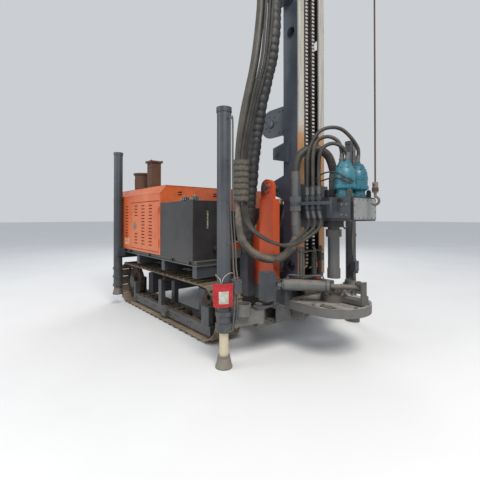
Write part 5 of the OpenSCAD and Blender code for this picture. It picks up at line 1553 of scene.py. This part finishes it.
def pocket():
    """A soft flat bag that hangs before the leg, at n outward from the leg's axis and t sideways:
    n = 0.094 + 0.004 v sin 5u + 0.003 cos(9v + 3u) +- (0.0008 + 0.0045 (sin pi u sin pi v)^0.6),
    t = 0.078 - 0.173 u + 0.012 v (u - 0.5), z = 0.745 - 0.2 v - 0.01 sin 2.6u + 0.004 sin 7v."""
    u, v = np.meshgrid(np.linspace(0, 1, 25), np.linspace(0, 1, 31), indexing="ij")
    t = 0.078 - POCKET_WIDE * u + 0.012 * v * (u - 0.5)
    z = POCKET_TOP - POCKET_HIGH * v - 0.010 * np.sin(2.6 * u) + 0.004 * np.sin(7 * v)
    off = STAND_OFF + 0.004 * np.sin(5 * u) * v + 0.003 * np.cos(9 * v + 3 * u)
    fat = 0.0045 * np.sin(math.pi * u) ** 0.6 * np.sin(math.pi * v) ** 0.6 + 0.0008
    leg = at(0, -LEG_Y, 0)
    front, back = (
        (leg + n[..., None] * OUTWARD + t[..., None] * SIDEWAYS + z[..., None] * UP).reshape(-1, 3)
        for n in (off + fat, off - fat)
    )
    maps = np.tile(np.stack([u.ravel(), v.ravel()], 1), (2, 1))
    bag = Shape().add(np.concatenate([front, back]), slab_faces(*u.shape), maps)
    obj = bag.make("tag_pocket", "leg_right", red_cloth, None, 60)
    shown = (u > 0.18) & (u < 0.74) & (v > 0.30) & (v < 0.86)
    size = shown.any(1).sum(), shown.any(0).sum()
    film = front[shown.ravel()]
    window = np.concatenate([film + 0.0012 * OUTWARD, film + 0.00024 * OUTWARD])
    Shape().add(window, slab_faces(*size)).make("tag_window", "leg_right", clear_film, None, 60)
    return obj


pocket()
loop_round_leg = line(
    (0.0590, -1.0690, 0.735), (0.064, -1.062, 0.765), (0.068, -1.045, 0.795), (0.085, -1.000, 0.824),
    (0.066, -0.945, 0.812), (0.020, -0.932, 0.806), (-0.035, -0.940, 0.802), (-0.066, -1.000, 0.798),
    (-0.040, -1.060, 0.800), (0.010, -1.076, 0.790), (0.046, -1.074, 0.768), (0.0490, -1.0770, 0.737),
)
way = even_path(loop_round_leg, 0.006)
string = Shape().add(*tube(way, 0.0016, 8)).make("tag_string", "leg_right", white_cord)
print(f"a red pocket on {length_of(way):.2f} m of white string")

# %% [markdown]
# ### Stacks and hook
# The exhaust has two bands and a bolted rain cap, the air cleaner upright ribs and a clamp, and the hook
# a nut and two screws. Paint could show the ribs too, but it would leave the round outline smooth.

# %% exhaust, air cleaner and hook
STACK, CLEANER, HOOK = at(-2.010, -0.710, 0), at(-2.400, -0.700, 0), at(0.850, 0, 0)
top, hook = Shape(), Shape()
for z in (1.74, 1.98):
    top.add(*block((-2.083, -0.783, z), (-1.937, -0.637, z + 0.010), 0.002))
rain_cap = [STACK + [dx, dy, 2.075] for dx in (-0.080, 0.080) for dy in (-0.080, 0.080)]
top.add(*bolts(rain_cap, UP, 0.016, 0.008))
for place in around(CLEANER + 1.800 * UP, 0.1185, 20):
    top.add(*lathe([(0.004, -0.060), (0.004, 0.060)], place, UP, 6))
top.add(*lathe([(0.119, 1.715), (0.122, 1.717), (0.122, 1.727), (0.119, 1.729)], CLEANER, UP, 40))
top.make("stack_bands", "chassis", rusty_steel)
hook.add(*lathe([(0.026, 1.520), (0.028, 1.526), (0.028, 1.548), (0.026, 1.554)], HOOK, UP, 24))
hook.add(*bolts([HOOK + [0, -0.0236, z] for z in (1.575, 1.535)], -Y, 0.014, 0.006))
hook.make("hook_nut", "mast", link_steel)
print("bands on the stacks and a nut on the hook")
